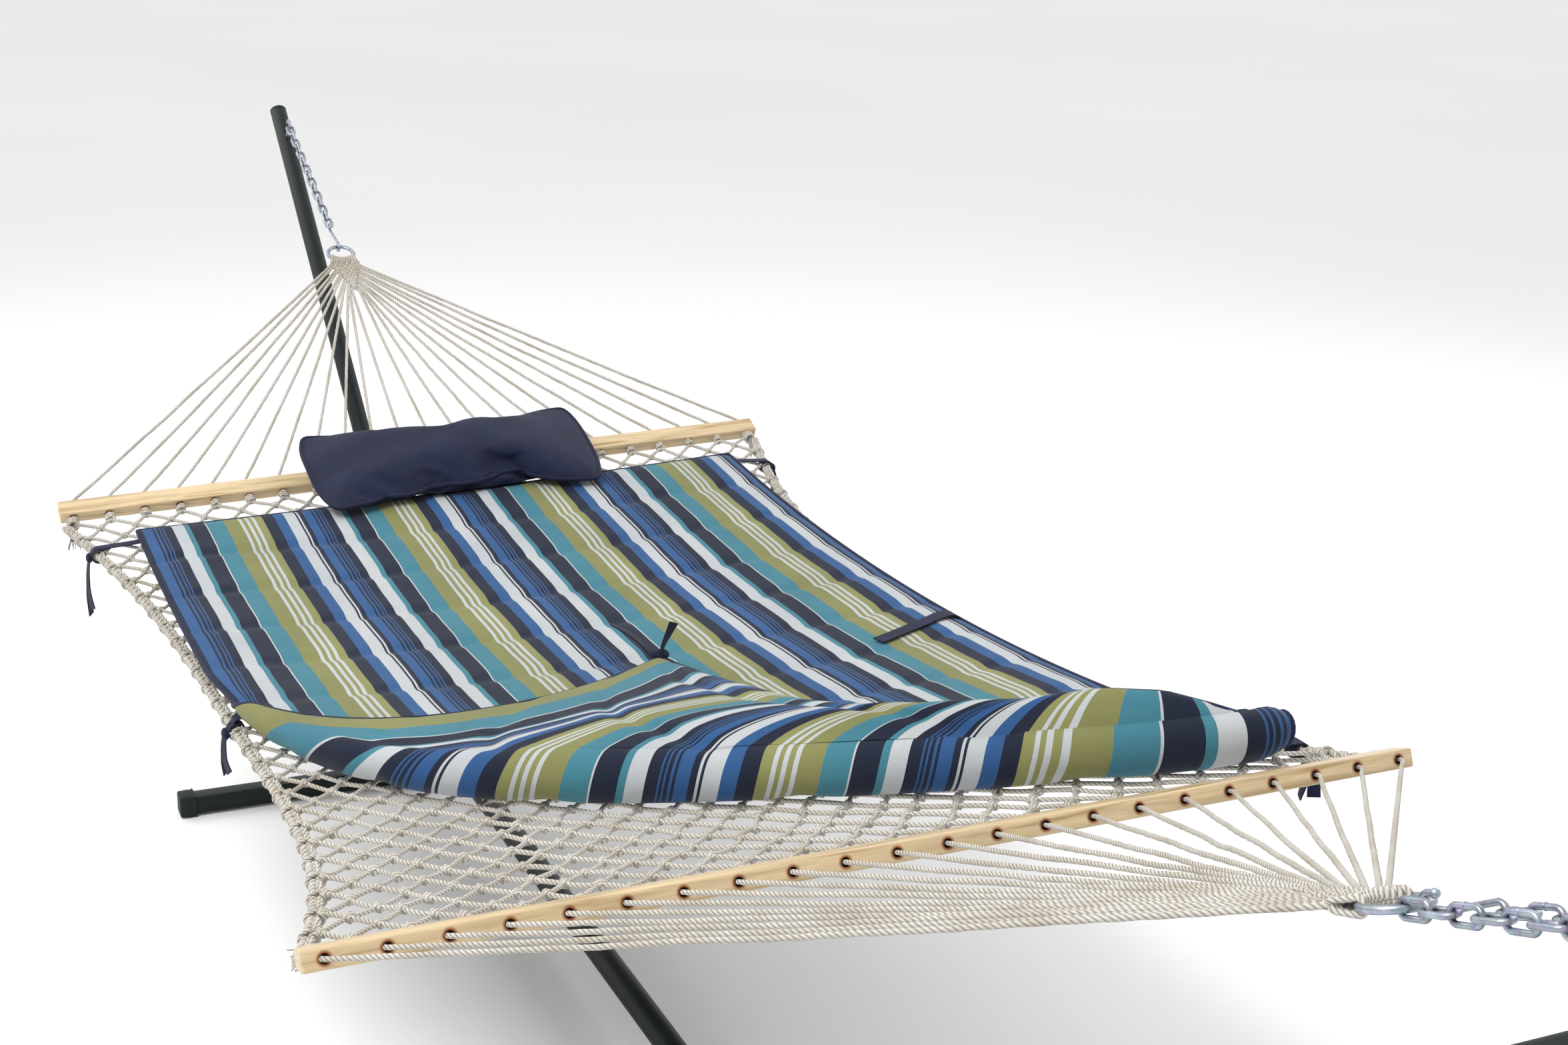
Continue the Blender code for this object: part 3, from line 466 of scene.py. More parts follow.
def lay_group():
    """Strands and yarns of a twisted rope from its own map: U round the rope, V along it in metres."""
    group, inside, out = new_group(
        "rope_lay", [("UV", "NodeSocketVector", None), ("Strands", "NodeSocketFloat", 3.0),
                     ("Lay", "NodeSocketFloat", 0.02)],
        [("Strand", "NodeSocketFloat"), ("Yarn", "NodeSocketFloat")])
    split = group.nodes.new("ShaderNodeSeparateXYZ")
    group.links.new(inside.outputs["UV"], split.inputs[0])
    turns = math_node(group, "DIVIDE", split.outputs[1], inside.outputs["Lay"])
    around = math_node(group, "SUBTRACT", split.outputs[0], turns)
    strand = math_node(group, "MULTIPLY", around, inside.outputs["Strands"])
    ridge = math_node(group, "SINE", math_node(group, "MULTIPLY", math_node(group, "FRACT", strand), math.pi))
    yarn = math_node(group, "ADD", math_node(group, "MULTIPLY", split.outputs[0], 2.0),
                     math_node(group, "MULTIPLY", turns, 6.0))
    fibre = math_node(group, "SINE", math_node(group, "MULTIPLY", yarn, 8 * math.pi))
    group.links.new(ridge, out.inputs["Strand"])
    half = math_node(group, "MULTIPLY", fibre, 0.5)
    group.links.new(math_node(group, "ADD", half, 0.5), out.inputs["Yarn"])
    return group


def use_group(tree, name, **values):
    node = tree.nodes.new("ShaderNodeGroup")
    node.node_tree = bpy.data.node_groups[name]
    for label, value in values.items():
        node.inputs[label].default_value = value
    return node


# ---------------------------------------------------------------- materials
def new_material(name, base, roughness, metallic=0.0):
    material = bpy.data.materials.new(name)
    material.use_nodes = True
    material.diffuse_color = (*base, 1.0)
    tree = material.node_tree
    shader = tree.nodes["Principled BSDF"]
    shader.inputs["Base Color"].default_value = (*base, 1.0)
    shader.inputs["Roughness"].default_value = roughness
    shader.inputs["Metallic"].default_value = metallic
    shader.inputs["Specular IOR Level"].default_value = 0.22
    return material, tree, shader


def object_vector(tree):
    return tree.nodes.new("ShaderNodeTexCoord").outputs["Object"]


def map_vector(tree):
    return tree.nodes.new("ShaderNodeTexCoord").outputs["UV"]


def ramp(tree, factor, stops, sharp=False):
    """A colour ramp from (place, colour) stops."""
    node = tree.nodes.new("ShaderNodeValToRGB")
    bar = node.color_ramp
    bar.interpolation = "CONSTANT" if sharp else "LINEAR"
    while len(bar.elements) < len(stops):
        bar.elements.new(1.0)
    for element, (place_on, tint) in zip(bar.elements, stops):
        element.position = place_on
        element.color = (*tint, 1.0)
    tree.links.new(factor, node.inputs["Fac"])
    return node.outputs["Color"]


def span(tree, value, low, high):
    """Stretch a value from 0 to 1 to a span."""
    node = tree.nodes.new("ShaderNodeMapRange")
    node.inputs["To Min"].default_value = low
    node.inputs["To Max"].default_value = high
    tree.links.new(value, node.inputs["Value"])
    return node.outputs[0]


def mix(tree, factor, first, second, blend="MIX"):
    node = tree.nodes.new("ShaderNodeMix")
    node.data_type = "RGBA"
    node.blend_type = blend
    for label, value in (("Factor", factor), ("A", first), ("B", second)):
        socket = node.inputs[label]
        if isinstance(value, (int, float)):
            socket.default_value = value
        elif isinstance(value, (tuple, list)):
            socket.default_value = (*value, 1.0)
        else:
            tree.links.new(value, socket)
    return node.outputs["Result"]


def bump(tree, shader, height, distance, strength=1.0, below=None):
    node = tree.nodes.new("ShaderNodeBump")
    node.inputs["Distance"].default_value = distance
    node.inputs["Strength"].default_value = strength
    tree.links.new(height, node.inputs["Height"])
    if below is not None:
        tree.links.new(below, node.inputs["Normal"])
    tree.links.new(node.outputs["Normal"], shader.inputs["Normal"])
    return node.outputs["Normal"]


def shade(tint, factor):
    return tuple(channel * factor for channel in tint)


def mottled(tree, coarse_scale, fine_scale):
    """Coarse and fine noise on a piece's own coordinates."""
    node = use_group(tree, "mottle", Coarse=coarse_scale, Fine=fine_scale)
    tree.links.new(object_vector(tree), node.inputs["Vector"])
    return node.outputs["Coarse"], node.outputs["Fine"]


def tones(base, *stops):
    """Ramp stops in lighter and darker tones of one colour, from (place, factor) pairs."""
    return [(at, shade(base, factor)) for at, factor in stops]


def skin_material(name, base, roughness, scales, stops, gloss, relief):
    """A painted or moulded skin: uneven tone and gloss over a fine orange peel."""
    material, tree, shader = new_material(name, base, roughness)
    coarse, fine = mottled(tree, *scales)
    tree.links.new(ramp(tree, coarse, tones(base, *stops)), shader.inputs["Base Color"])
    tree.links.new(span(tree, coarse, *gloss), shader.inputs["Roughness"])
    bump(tree, shader, fine, *relief)
    return material


def zinc_material():
    """Zinc plate: crystals of slightly different grey, dull where it was handled."""
    base = tuple(colours().zinc)
    material, tree, shader = new_material("zinc_plate", base, 0.36, 1.0)
    cells = tree.nodes.new("ShaderNodeTexVoronoi")
    cells.inputs["Scale"].default_value = 260.0
    tree.links.new(object_vector(tree), cells.inputs["Vector"])
    coarse, fine = mottled(tree, 60.0, 900.0)
    tint = ramp(tree, coarse, tones(base, (0.3, 0.62), (0.55, 1.0), (0.8, 1.35)))
    tree.links.new(mix(tree, 0.12, tint, cells.outputs["Color"], "OVERLAY"), shader.inputs["Base Color"])
    tree.links.new(span(tree, coarse, 0.22, 0.5), shader.inputs["Roughness"])
    bump(tree, shader, fine, 0.0003, 0.4)
    return material


def oak_material():
    """Varnished oak, scorched round the drilled holes; the map holds holes at whole numbers of U."""
    light, dark = tuple(colours().oak), tuple(colours().oak_dark)
    material, tree, shader = new_material("varnished_oak", light, 0.38)
    grain = use_group(tree, "wood_grain")
    tree.links.new(object_vector(tree), grain.inputs["Vector"])
    wood = ramp(tree, grain.outputs["Grain"],
                [(0.30, dark), (0.46, light), (0.62, shade(light, 1.18)), (0.72, dark)])
    wood = mix(tree, span(tree, grain.outputs["Pores"], 0.0, 0.55), wood, shade(dark, 0.9), "MULTIPLY")
    split = tree.nodes.new("ShaderNodeSeparateXYZ")
    tree.links.new(map_vector(tree), split.inputs[0])
    moved = math_node(tree, "ADD", split.outputs[0], 0.5)
    across = math_node(tree, "SUBTRACT", math_node(tree, "FRACT", moved), 0.5)
    squares = math_node(tree, "ADD", math_node(tree, "MULTIPLY", across, across),
                        math_node(tree, "MULTIPLY", split.outputs[1], split.outputs[1]))
    distance = math_node(tree, "SQRT", squares)
    burn = ramp(tree, distance, [(0.0, (0.02, 0.01, 0.005)), (0.078, (0.05, 0.018, 0.006)),
                                 (0.098, (0.42, 0.14, 0.03)), (0.15, (1, 1, 1))])
    tree.links.new(mix(tree, 1.0, wood, burn, "MULTIPLY"), shader.inputs["Base Color"])
    tree.links.new(span(tree, grain.outputs["Grain"], 0.28, 0.5), shader.inputs["Roughness"])
    shader.inputs["Coat Weight"].default_value = 0.25
    shader.inputs["Coat Roughness"].default_value = 0.2
    bump(tree, shader, grain.outputs["Pores"], 0.0004, 0.3)
    return material


def cotton_material(name, strands, lay, tint=1.0):
    """Twisted cotton: painted shade in the grooves between strands and a painted highlight on their crowns,
    fine yarns and soft grey soiling.
    """
    base = shade(tuple(colours().cotton), tint)
    material, tree, shader = new_material(name, base, 0.9)
    twist = use_group(tree, "rope_lay", Strands=strands, Lay=lay)
    tree.links.new(map_vector(tree), twist.inputs["UV"])
    coarse, fine = mottled(tree, 14.0, 900.0)
    # painted shade and highlight: the strand height darkens the grooves and lightens the crowns of the
    # strands
    strand = ramp(tree, twist.outputs["Strand"], tones(base, (0.0, 0.42), (0.35, 0.9), (0.9, 1.12)))
    soil = ramp(tree, coarse, [(0.3, (0.80, 0.77, 0.70)), (0.6, (1.0, 1.0, 1.0))])
    tree.links.new(mix(tree, 1.0, strand, soil, "MULTIPLY"), shader.inputs["Base Color"])
    tree.links.new(span(tree, fine, 0.8, 1.0), shader.inputs["Roughness"])
    shader.inputs["Sheen Weight"].default_value = 0.06
    below = bump(tree, shader, twist.outputs["Strand"], 0.0016, 0.9)
    bump(tree, shader, twist.outputs["Yarn"], 0.0003, 0.5, below)
    return material


def stripe_stops():
    """One repeat of the woven stripes, as shares of its width."""
    c = colours()
    navy, blue, teal, olive, white = (tuple(t) for t in (c.navy, c.blue, c.teal, c.olive, c.white))
    fine_olive = shade(olive, 1.12)
    return [(0.0, blue), (0.054, navy), (0.066, blue), (0.078, navy), (0.090, blue), (0.100, navy),
            (0.112, blue), (0.120, navy), (0.170, white), (0.243, teal), (0.277, navy), (0.378, white),
            (0.386, teal), (0.493, olive), (0.588, white), (0.608, fine_olive), (0.630, white),
            (0.650, fine_olive), (0.670, white), (0.690, fine_olive), (0.735, navy), (0.810, blue),
            (0.878, white), (0.946, navy), (0.960, white), (0.972, navy)]


def stripe_material():
    """Striped pad cloth from the pad's own map: U in repeats across it, V along it in metres."""
    material, tree, shader = new_material("striped_cloth", tuple(colours().blue), 0.85)
    where = map_vector(tree)
    split = tree.nodes.new("ShaderNodeSeparateXYZ")
    tree.links.new(where, split.inputs[0])
    stripes = ramp(tree, math_node(tree, "FRACT", split.outputs[0]), stripe_stops(), sharp=True)
    weave = use_group(tree, "weave", Across=330.0, Along=1100.0)
    tree.links.new(where, weave.inputs["Vector"])
    coarse, fine = mottled(tree, 7.0, 500.0)
    worn = ramp(tree, coarse, [(0.3, (0.86, 0.87, 0.90)), (0.65, (1.0, 1.0, 1.0))])
    yarn = ramp(tree, fine, [(0.3, (0.86, 0.86, 0.86)), (0.7, (1.0, 1.0, 1.0))])
    cloth = mix(tree, 1.0, mix(tree, 1.0, stripes, worn, "MULTIPLY"), yarn, "MULTIPLY")
    tree.links.new(cloth, shader.inputs["Base Color"])
    tree.links.new(span(tree, fine, 0.72, 0.95), shader.inputs["Roughness"])
    shader.inputs["Sheen Weight"].default_value = 0.08
    shader.inputs["Sheen Roughness"].default_value = 0.4
    bump(tree, shader, weave.outputs["Height"], 0.0002, 0.5)
    return material


def canvas_material(name, base, threads):
    """Plain canvas on object coordinates, with slubs and faded patches."""
    material, tree, shader = new_material(name, base, 0.82)
    weave = use_group(tree, "weave", Across=threads, Along=threads)
    tree.links.new(object_vector(tree), weave.inputs["Vector"])
    coarse, fine = mottled(tree, 11.0, 650.0)
    faded = ramp(tree, coarse, tones(base, (0.3, 0.75), (0.55, 1.0), (0.85, 1.6)))
    yarn = ramp(tree, fine, [(0.3, (0.7, 0.7, 0.72)), (0.7, (1.0, 1.0, 1.0))])
    tree.links.new(mix(tree, 1.0, faded, yarn, "MULTIPLY"), shader.inputs["Base Color"])
    tree.links.new(span(tree, fine, 0.7, 0.95), shader.inputs["Roughness"])
    shader.inputs["Sheen Weight"].default_value = 0.06
    bump(tree, shader, weave.outputs["Height"], 0.0003, 0.5)
    return material


def floor_material():
    material, tree, shader = new_material("pale_floor", (0.86, 0.86, 0.86), 0.75)
    coarse = mottled(tree, 0.2, 60.0)[0]
    tree.links.new(ramp(tree, coarse, [(0.3, (0.84, 0.84, 0.84)), (0.7, (0.88, 0.88, 0.88))]),
                   shader.inputs["Base Color"])
    return material


MATERIALS = {}


def finish_of(name):
    """A finish by name; each is made once, when the first piece asks for it."""
    if not MATERIALS:
        for make in (grain_group, mottle_group, weave_group, lay_group):
            make()
    if name not in MATERIALS:
        s, c = sizes(), colours()
        makers = {
            "coat": lambda: skin_material("green_powder_coat", tuple(c.coat), 0.42, (9.0, 700.0),
                                          ((0.3, 0.8), (0.6, 1.0), (0.9, 1.9)), (0.34, 0.56), (0.0003, 0.35)),
            "plastic": lambda: skin_material("black_plastic", tuple(c.plastic), 0.55, (35.0, 1500.0),
                                             ((0.35, 1.0), (0.8, 2.2)), (0.45, 0.7), (0.0002, 0.5)),
            "zinc": zinc_material, "oak": oak_material,
            "cord": lambda: cotton_material("cotton_cord", 3, s.cord_lay),
            "braid": lambda: cotton_material("cotton_braid", 3, 0.016, 0.97),
            "stripes": stripe_material, "floor": floor_material,
            "navy": lambda: canvas_material("navy_canvas", tuple(c.edge), 1400.0),
            "webbing": lambda: canvas_material("navy_tape", shade(tuple(c.edge), 0.9), 900.0),
        }
        MATERIALS[name] = makers[name]()
    return MATERIALS[name]


# ---------------------------------------------------------------- stage
LIGHTS = (("key", (1.2, -2.4, 4.6), 2.2, 170), ("fill", (-3.6, -2.0, 3.2), 3.5, 45),
          ("back", (-1.0, 4.2, 3.6), 3.5, 60))      # name, place, width and power
LIT_SPOT = Vector((0.2, 0.0, 0.6))
CAMERA_PLACE, CAMERA_LENS = (3.0145, -1.0775, 1.7896), 48.90
CAMERA_TURN = (154.856, -17.377, 1.978)             # yaw, pitch and roll in degrees


class HAMMOCK_OT_stage(bpy.types.Operator):
    """Add the pale floor, the soft lights and the camera"""

    bl_idname = "hammock.stage"
    bl_label = "Stage"

    def execute(self, context):
        deselect()
        bpy.ops.mesh.primitive_grid_add(x_subdivisions=2, y_subdivisions=2, size=60, location=(0, 0, -0.002))
        floor = context.object
        floor.name = "floor"
        settle(floor)
        floor.data.materials.append(finish_of("floor"))

        world = bpy.data.worlds.new("studio")
        world.use_nodes = True
        world.node_tree.nodes["Background"].inputs["Color"].default_value = (1.0, 1.0, 1.0, 1.0)
        world.node_tree.nodes["Background"].inputs["Strength"].default_value = 0.95
        context.scene.world = world
        context.scene.view_settings.view_transform = "Standard"

        for name, spot, size, power in LIGHTS:
            bpy.ops.object.light_add(type="AREA", location=spot)
            light = context.object
            light.name = name + "_light"
            light.data.size = size
            light.data.energy = power
            light.rotation_euler = (LIT_SPOT - Vector(spot)).to_track_quat("-Z", "Y").to_euler()

        bpy.ops.object.camera_add(location=CAMERA_PLACE)
        camera = context.object
        yaw, pitch, roll = (math.radians(a) for a in CAMERA_TURN)
        forward = Vector((math.cos(pitch) * math.cos(yaw), math.cos(pitch) * math.sin(yaw), math.sin(pitch)))
        level = forward.cross(Z_AXIS).normalized()
        above = level.cross(forward)
        right = math.cos(roll) * level + math.sin(roll) * above
        up = math.cos(roll) * above - math.sin(roll) * level
        camera.matrix_world = frame_matrix(camera.location.copy(), right, up, -forward)
        camera.data.sensor_width = 36.0
        camera.data.lens = CAMERA_LENS
        camera.data.clip_end = 100.0
        context.scene.camera = camera
        return {"FINISHED"}


# ---------------------------------------------------------------- stand
TUBE_WALL = 0.0016
FIT = 0.0003                # gap between pieces that touch
ELBOW_START = 0.550         # where the elbow begins inside the base tube
ELBOW_BEND = 0.080
SWAGE_GAP, SWAGE_LENGTH = 0.0019, 0.085     # the elbow's thin end inside the arm


def tube(start, end, radius, wall):
    """An open tube from start to end, its rims softened."""
    axis = (end - start).normalized()
    across = axis.cross(Y_AXIS).normalized()
    deselect()
    bpy.ops.mesh.primitive_cylinder_add(vertices=64, radius=radius, depth=(end - start).length,
                                        end_fill_type="NOTHING")
    item = bpy.context.object
    modifier = item.modifiers.new("wall", "SOLIDIFY")
    modifier.thickness = wall
    modifier.offset = -1.0
    apply_modifier(item, "wall")
    bevel(item, 0.0005, 2, 60)
    place(item, (start + end) / 2, across, axis.cross(across), axis)
    return item


def block(node, soften, grow=0.0):
    """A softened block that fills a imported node's box."""
    deselect()
    bpy.ops.mesh.primitive_cube_add(size=1.0, location=middle(node))
    item = bpy.context.object
    item.scale = size_of(node) + Vector((grow, grow, grow))
    settle(item)
    bevel(item, soften, 3)
    return item


class HAMMOCK_OT_tubes(bpy.types.Operator):
    """Build the base tube, the elbows and the arms"""

    bl_idname = "hammock.tubes"
    bl_label = "Tubes"

    def execute(self, context):
        low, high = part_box("base_tube")
        radius = (high.z - low.z) / 2
        axis_z = (high.z + low.z) / 2
        item = tube(Vector((low.x, 0, axis_z)), Vector((high.x, 0, axis_z)), radius, TUBE_WALL)
        finish_piece(item, "ground_tube", "coat", "stand", "base_tube")
        for end in ENDS:
            half = end.arm_length / 2 * end.arm
            item = tube(end.arm_middle - half, end.arm_middle + half, end.arm_radius, TUBE_WALL)
            finish_piece(item, "arm_tube_" + end.name, "coat", "stand", "arm_" + end.name)
            self.build_elbow(end, axis_z)
        return {"FINISHED"}

    def build_elbow(self, end, axis_z):
        """The swaged bend: thick in the base tube, thinner where it enters the arm."""
        radius = size_of("elbow_" + end.name).y / 2
        thin = end.arm_radius - SWAGE_GAP
        shoulder = end.arm_middle - (end.arm_length / 2 + FIT) * end.arm
        corner = shoulder - (shoulder.z - axis_z) / end.arm.z * end.arm
        outward = Vector((end.side, 0, 0))
        back = ELBOW_BEND * math.tan(end.angle / 2)
        heart = corner - back * outward + ELBOW_BEND * Z_AXIS
        path = [Vector((end.side * ELBOW_START, 0, axis_z)), corner - (back + 0.002) * outward]
        path += arc(heart, -ELBOW_BEND * Z_AXIS, ELBOW_BEND * outward, end.angle, 12)
        path += [shoulder - 0.004 * end.arm, shoulder, shoulder + SWAGE_LENGTH * end.arm]
        count = len(path)
        item = rod("elbow_body", [path], radius, sides=48, step=None,
                   taper=lambda t: 1.0 if t < (count - 2.5) / (count - 1) else thin / radius)
        finish_piece(item, "bent_elbow_" + end.name, "coat", "stand", "elbow_" + end.name, angle=50)


class HAMMOCK_OT_feet(bpy.types.Operator):
    """Build the cross feet, their saddles and all end caps"""

    bl_idname = "hammock.feet"
    bl_label = "Feet and caps"

    def execute(self, context):
        for end in ENDS:
            item = block("cross_foot_" + end.name, 0.0035)
            finish_piece(item, "cross_tube_" + end.name, "coat", "stand", "cross_foot_" + end.name)
            saddle = frame["nodes"]["saddle_" + end.name]
            saddle.data.materials.clear()
            saddle.data.materials.append(finish_of("coat"))
            for side in ("left", "right"):
                self.build_foot_cap(end, side)
            self.build_arm_cap(end)
        return {"FINISHED"}

    def build_foot_cap(self, end, side):
        """A moulded cap with a rolled lip and two shallow ribs."""
        node = f"foot_cap_{end.name}_{side}"
        outward = -1 if side == "left" else 1
        cap = block(node, 0.004, -0.0006)
        low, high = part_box(node)
        parts = [cap]
        for share, depth in ((0.06, 0.004), (0.36, 0.0022), (0.52, 0.0022)):
            y = (low.y if outward > 0 else high.y) + outward * (share * (high.y - low.y) + depth / 2)
            deselect()
            bpy.ops.mesh.primitive_cube_add(size=1.0, location=(middle(node).x, y, middle(node).z))
            rib = bpy.context.object
            rib.scale = (high.x - low.x, depth, high.z - low.z)
            settle(rib)
            bevel(rib, 0.0009, 2)
            parts.append(rib)
        finish_piece(join(parts), f"rubber_cap_{end.name}_{side}", "plastic", "stand", node)

    def build_arm_cap(self, end):
        """A domed plug in the arm's open end."""
        radius = end.arm_radius + FIT
        top = end.arm_middle + (end.arm_length / 2 + 0.0043) * end.arm
        across = end.arm.cross(Y_AXIS).normalized()
        deselect()
        bpy.ops.mesh.primitive_cylinder_add(vertices=48, radius=radius, depth=0.004)
        cap = bpy.context.object
        bpy.ops.object.mode_set(mode="EDIT")
        bpy.ops.mesh.select_mode(type="FACE")
        bpy.ops.mesh.select_all(action="DESELECT")
        bpy.ops.object.mode_set(mode="OBJECT")
        for face in cap.data.polygons:
            face.select = face.normal.z > 0.9
        bpy.ops.object.mode_set(mode="EDIT")
        bpy.ops.mesh.inset(thickness=0.003, depth=0.0)
        bpy.ops.mesh.inset(thickness=0.005, depth=0.0012)
        bpy.ops.object.mode_set(mode="OBJECT")
        bevel(cap, 0.0012, 3)
        place(cap, top - 0.002 * end.arm, across, end.arm.cross(across), end.arm)
        finish_piece(cap, "arm_plug_" + end.name, "plastic", "stand", "arm_cap_" + end.name)


# ---------------------------------------------------------------- bolts and hooks
BOLT_RADIUS, THREAD_PITCH, THREAD_LENGTH = 0.0039, 0.00125, 0.018
HEX_FLATS, HEAD_HEIGHT, HOOK_NUT_HEIGHT = 0.013, 0.0053, 0.0065
HOOK_WIRE, HOOK_BEND, HOOK_SWEEP = 0.0035, 0.012, math.radians(285)
HOOK_TAIL = 0.0095          # how far the hook bolt's thread stands out of the arm


def hex_nut(thickness, dome=False):
    """A chamfered hexagon along Z, its lower face at z = 0; a nut has a bore, a bolt's head a low dome."""
    deselect()
    bpy.ops.mesh.primitive_cylinder_add(vertices=6, radius=HEX_FLATS / 2 / math.cos(math.pi / 6),
                                        depth=thickness, location=(0, 0, thickness / 2))
    item = bpy.context.object
    settle(item)
    bevel(item, thickness * 0.09, 2)
    if dome:
        bpy.ops.mesh.primitive_cylinder_add(vertices=32, radius=HEX_FLATS * 0.44, depth=0.0008,
                                            location=(0, 0, thickness + 0.0002))
    else:
        bpy.ops.mesh.primitive_torus_add(major_radius=HEX_FLATS * 0.36, minor_radius=HEX_FLATS * 0.07,
                                         major_segments=32, minor_segments=10, location=(0, 0, thickness))
    extra = bpy.context.object
    settle(extra)
    return join([item, extra])


def threads(start, end):
    """The rolled thread of a bolt's end, a shallow helix round its core."""
    axis = (end - start).normalized()
    side = axis.orthogonal().normalized()
    up = axis.cross(side)
    turns = (end - start).length / THREAD_PITCH
    count = max(int(turns * 12), 12)
    helix = []
    for i in range(count + 1):
        angle = 2 * math.pi * turns * i / count
        helix.append(start + (end - start) * i / count
                     + (BOLT_RADIUS - THREAD_PITCH * 0.25) * (math.cos(angle) * side + math.sin(angle) * up))
    return [rod("thread", [helix], THREAD_PITCH * 0.42, sides=6, step=None),
            rod("core", [[start, end]], BOLT_RADIUS * 0.86, sides=16, step=None)]


class HAMMOCK_OT_bolts(bpy.types.Operator):
    """Build the hex bolts and nuts that hold the tubes together"""

    bl_idname = "hammock.bolts"
    bl_label = "Bolts and nuts"

    def execute(self, context):
        for end in ENDS:
            self.build_pair("base", end, Y_AXIS, X_AXIS)
            self.build_pair("arm", end, Y_AXIS, end.arm)
            self.build_pair("saddle", end, -Z_AXIS, X_AXIS)
        return {"FINISHED"}

    def build_pair(self, kind, end, axis, across):
        bolt, nut = f"{kind}_bolt_{end.name}", f"{kind}_nut_{end.name}"
        reach = abs(size_of(bolt).dot(axis)) / 2
        if (middle(nut) - middle(bolt)).dot(axis) < 0:
            axis = -axis
        tail = middle(bolt) + reach * axis
        head = middle(bolt) - reach * axis
        seat = head + HEAD_HEIGHT * axis
        item = hex_nut(HEAD_HEIGHT, dome=True)
        place(item, seat, across, (-axis).cross(across), -axis)
        neck = tail - THREAD_LENGTH * axis
        parts = [item, rod("shank", [[seat, neck]], BOLT_RADIUS, sides=24, step=None), *threads(neck, tail)]
        finish_piece(join(parts), f"{kind}_hex_bolt_{end.name}", "zinc", "stand", bolt)
        low = middle(nut) - abs(size_of(nut).dot(axis)) / 2 * axis
        item = hex_nut(size_of(nut).dot(Vector(map(abs, axis))))
        place(item, low, across, axis.cross(across), axis)
        finish_piece(item, f"{kind}_hex_nut_{end.name}", "zinc", "stand", nut)


class HAMMOCK_OT_hooks(bpy.types.Operator):
    """Build the open hook bolts in the arms, with their nuts"""

    bl_idname = "hammock.hooks"
    bl_label = "Hook bolts"

    def execute(self, context):
        for end in ENDS:
            depth = (end.hook - end.arm_middle).dot(end.inward)
            root = end.hook - depth * end.inward
            outer = end.arm_radius + FIT
            tail = root - (outer + HOOK_TAIL) * end.inward
            path = [root + 0.010 * end.inward, end.hook - (HOOK_BEND + 0.006) * end.inward]
            path += arc(end.hook, -HOOK_BEND * end.inward, -HOOK_BEND * end.arm, HOOK_SWEEP, 24)
            parts = [rod("hook_wire", [path], HOOK_WIRE, sides=20, step=0.002,
                         taper=lambda t: 1.0 if t < 0.985 else 0.8)]
            parts += threads(tail, root + 0.012 * end.inward)
            finish_piece(join(parts), "open_hook_" + end.name, "zinc", "stand", "hook_bolt_" + end.name)
            item = hex_nut(HOOK_NUT_HEIGHT)
            place(item, root - outer * end.inward, Y_AXIS, (-end.inward).cross(Y_AXIS), -end.inward)
            finish_piece(item, "hook_hex_nut_" + end.name, "zinc", "stand", "hook_nut_" + end.name)
        return {"FINISHED"}


# ---------------------------------------------------------------- chains
HOOK_BITE = 0.0054      # first link's wire from the middle of the hook's bend
S_REACH = {"head": 0.0796, "foot": 0.0771}      # between the two bends of an S hook
S_WIRE, S_BALL, S_SLACK = 0.003, 0.00435, 0.0014
TOUCH = 0.0002              # how far links that bear on each other sink in


def link_span():
    """Between the two end wires of a link; links in line touch."""
    return sizes().link_pitch + 2 * sizes().link_wire - TOUCH


def make_link():
    """One welded link along X, its first end wire at the origin, lying in the XY plane."""
    s = sizes()
    turn = s.link_inner / 2 + s.link_wire
    deselect()
    bpy.ops.mesh.primitive_torus_add(major_radius=turn, minor_radius=s.link_wire, major_segments=28,
                                     minor_segments=14)
    item = bpy.context.object
    bpy.ops.object.mode_set(mode="EDIT")
    bpy.ops.mesh.select_all(action="SELECT")
    bpy.ops.mesh.bisect(plane_co=(0.0001, 0, 0), plane_no=(1, 0, 0))
    bpy.ops.object.mode_set(mode="OBJECT")
    for vertex in item.data.vertices:
        if vertex.co.x > 0.00005:
            vertex.co.x += link_span() - 2 * turn
        vertex.co.x += turn
    deselect()
    bpy.ops.mesh.primitive_torus_add(major_radius=s.link_wire * 0.96, minor_radius=s.link_wire * 0.22,
                                     major_segments=20, minor_segments=8, rotation=(0, math.radians(90), 0),
                                     location=(link_span() / 2, turn, 0))
    weld = bpy.context.object
    settle(weld)
    return join([item, weld])


def link_copy(pattern, start, length_axis, side, lean=0.0):
    """A copy of the link with its first end wire at a start point."""
    item = pattern.copy()
    item.data = pattern.data.copy()
    bpy.context.scene.collection.objects.link(item)
    normal = length_axis.cross(side)
    side = (math.cos(lean) * side + math.sin(lean) * normal).normalized()
    place(item, start, length_axis, side, length_axis.cross(side))
    return item


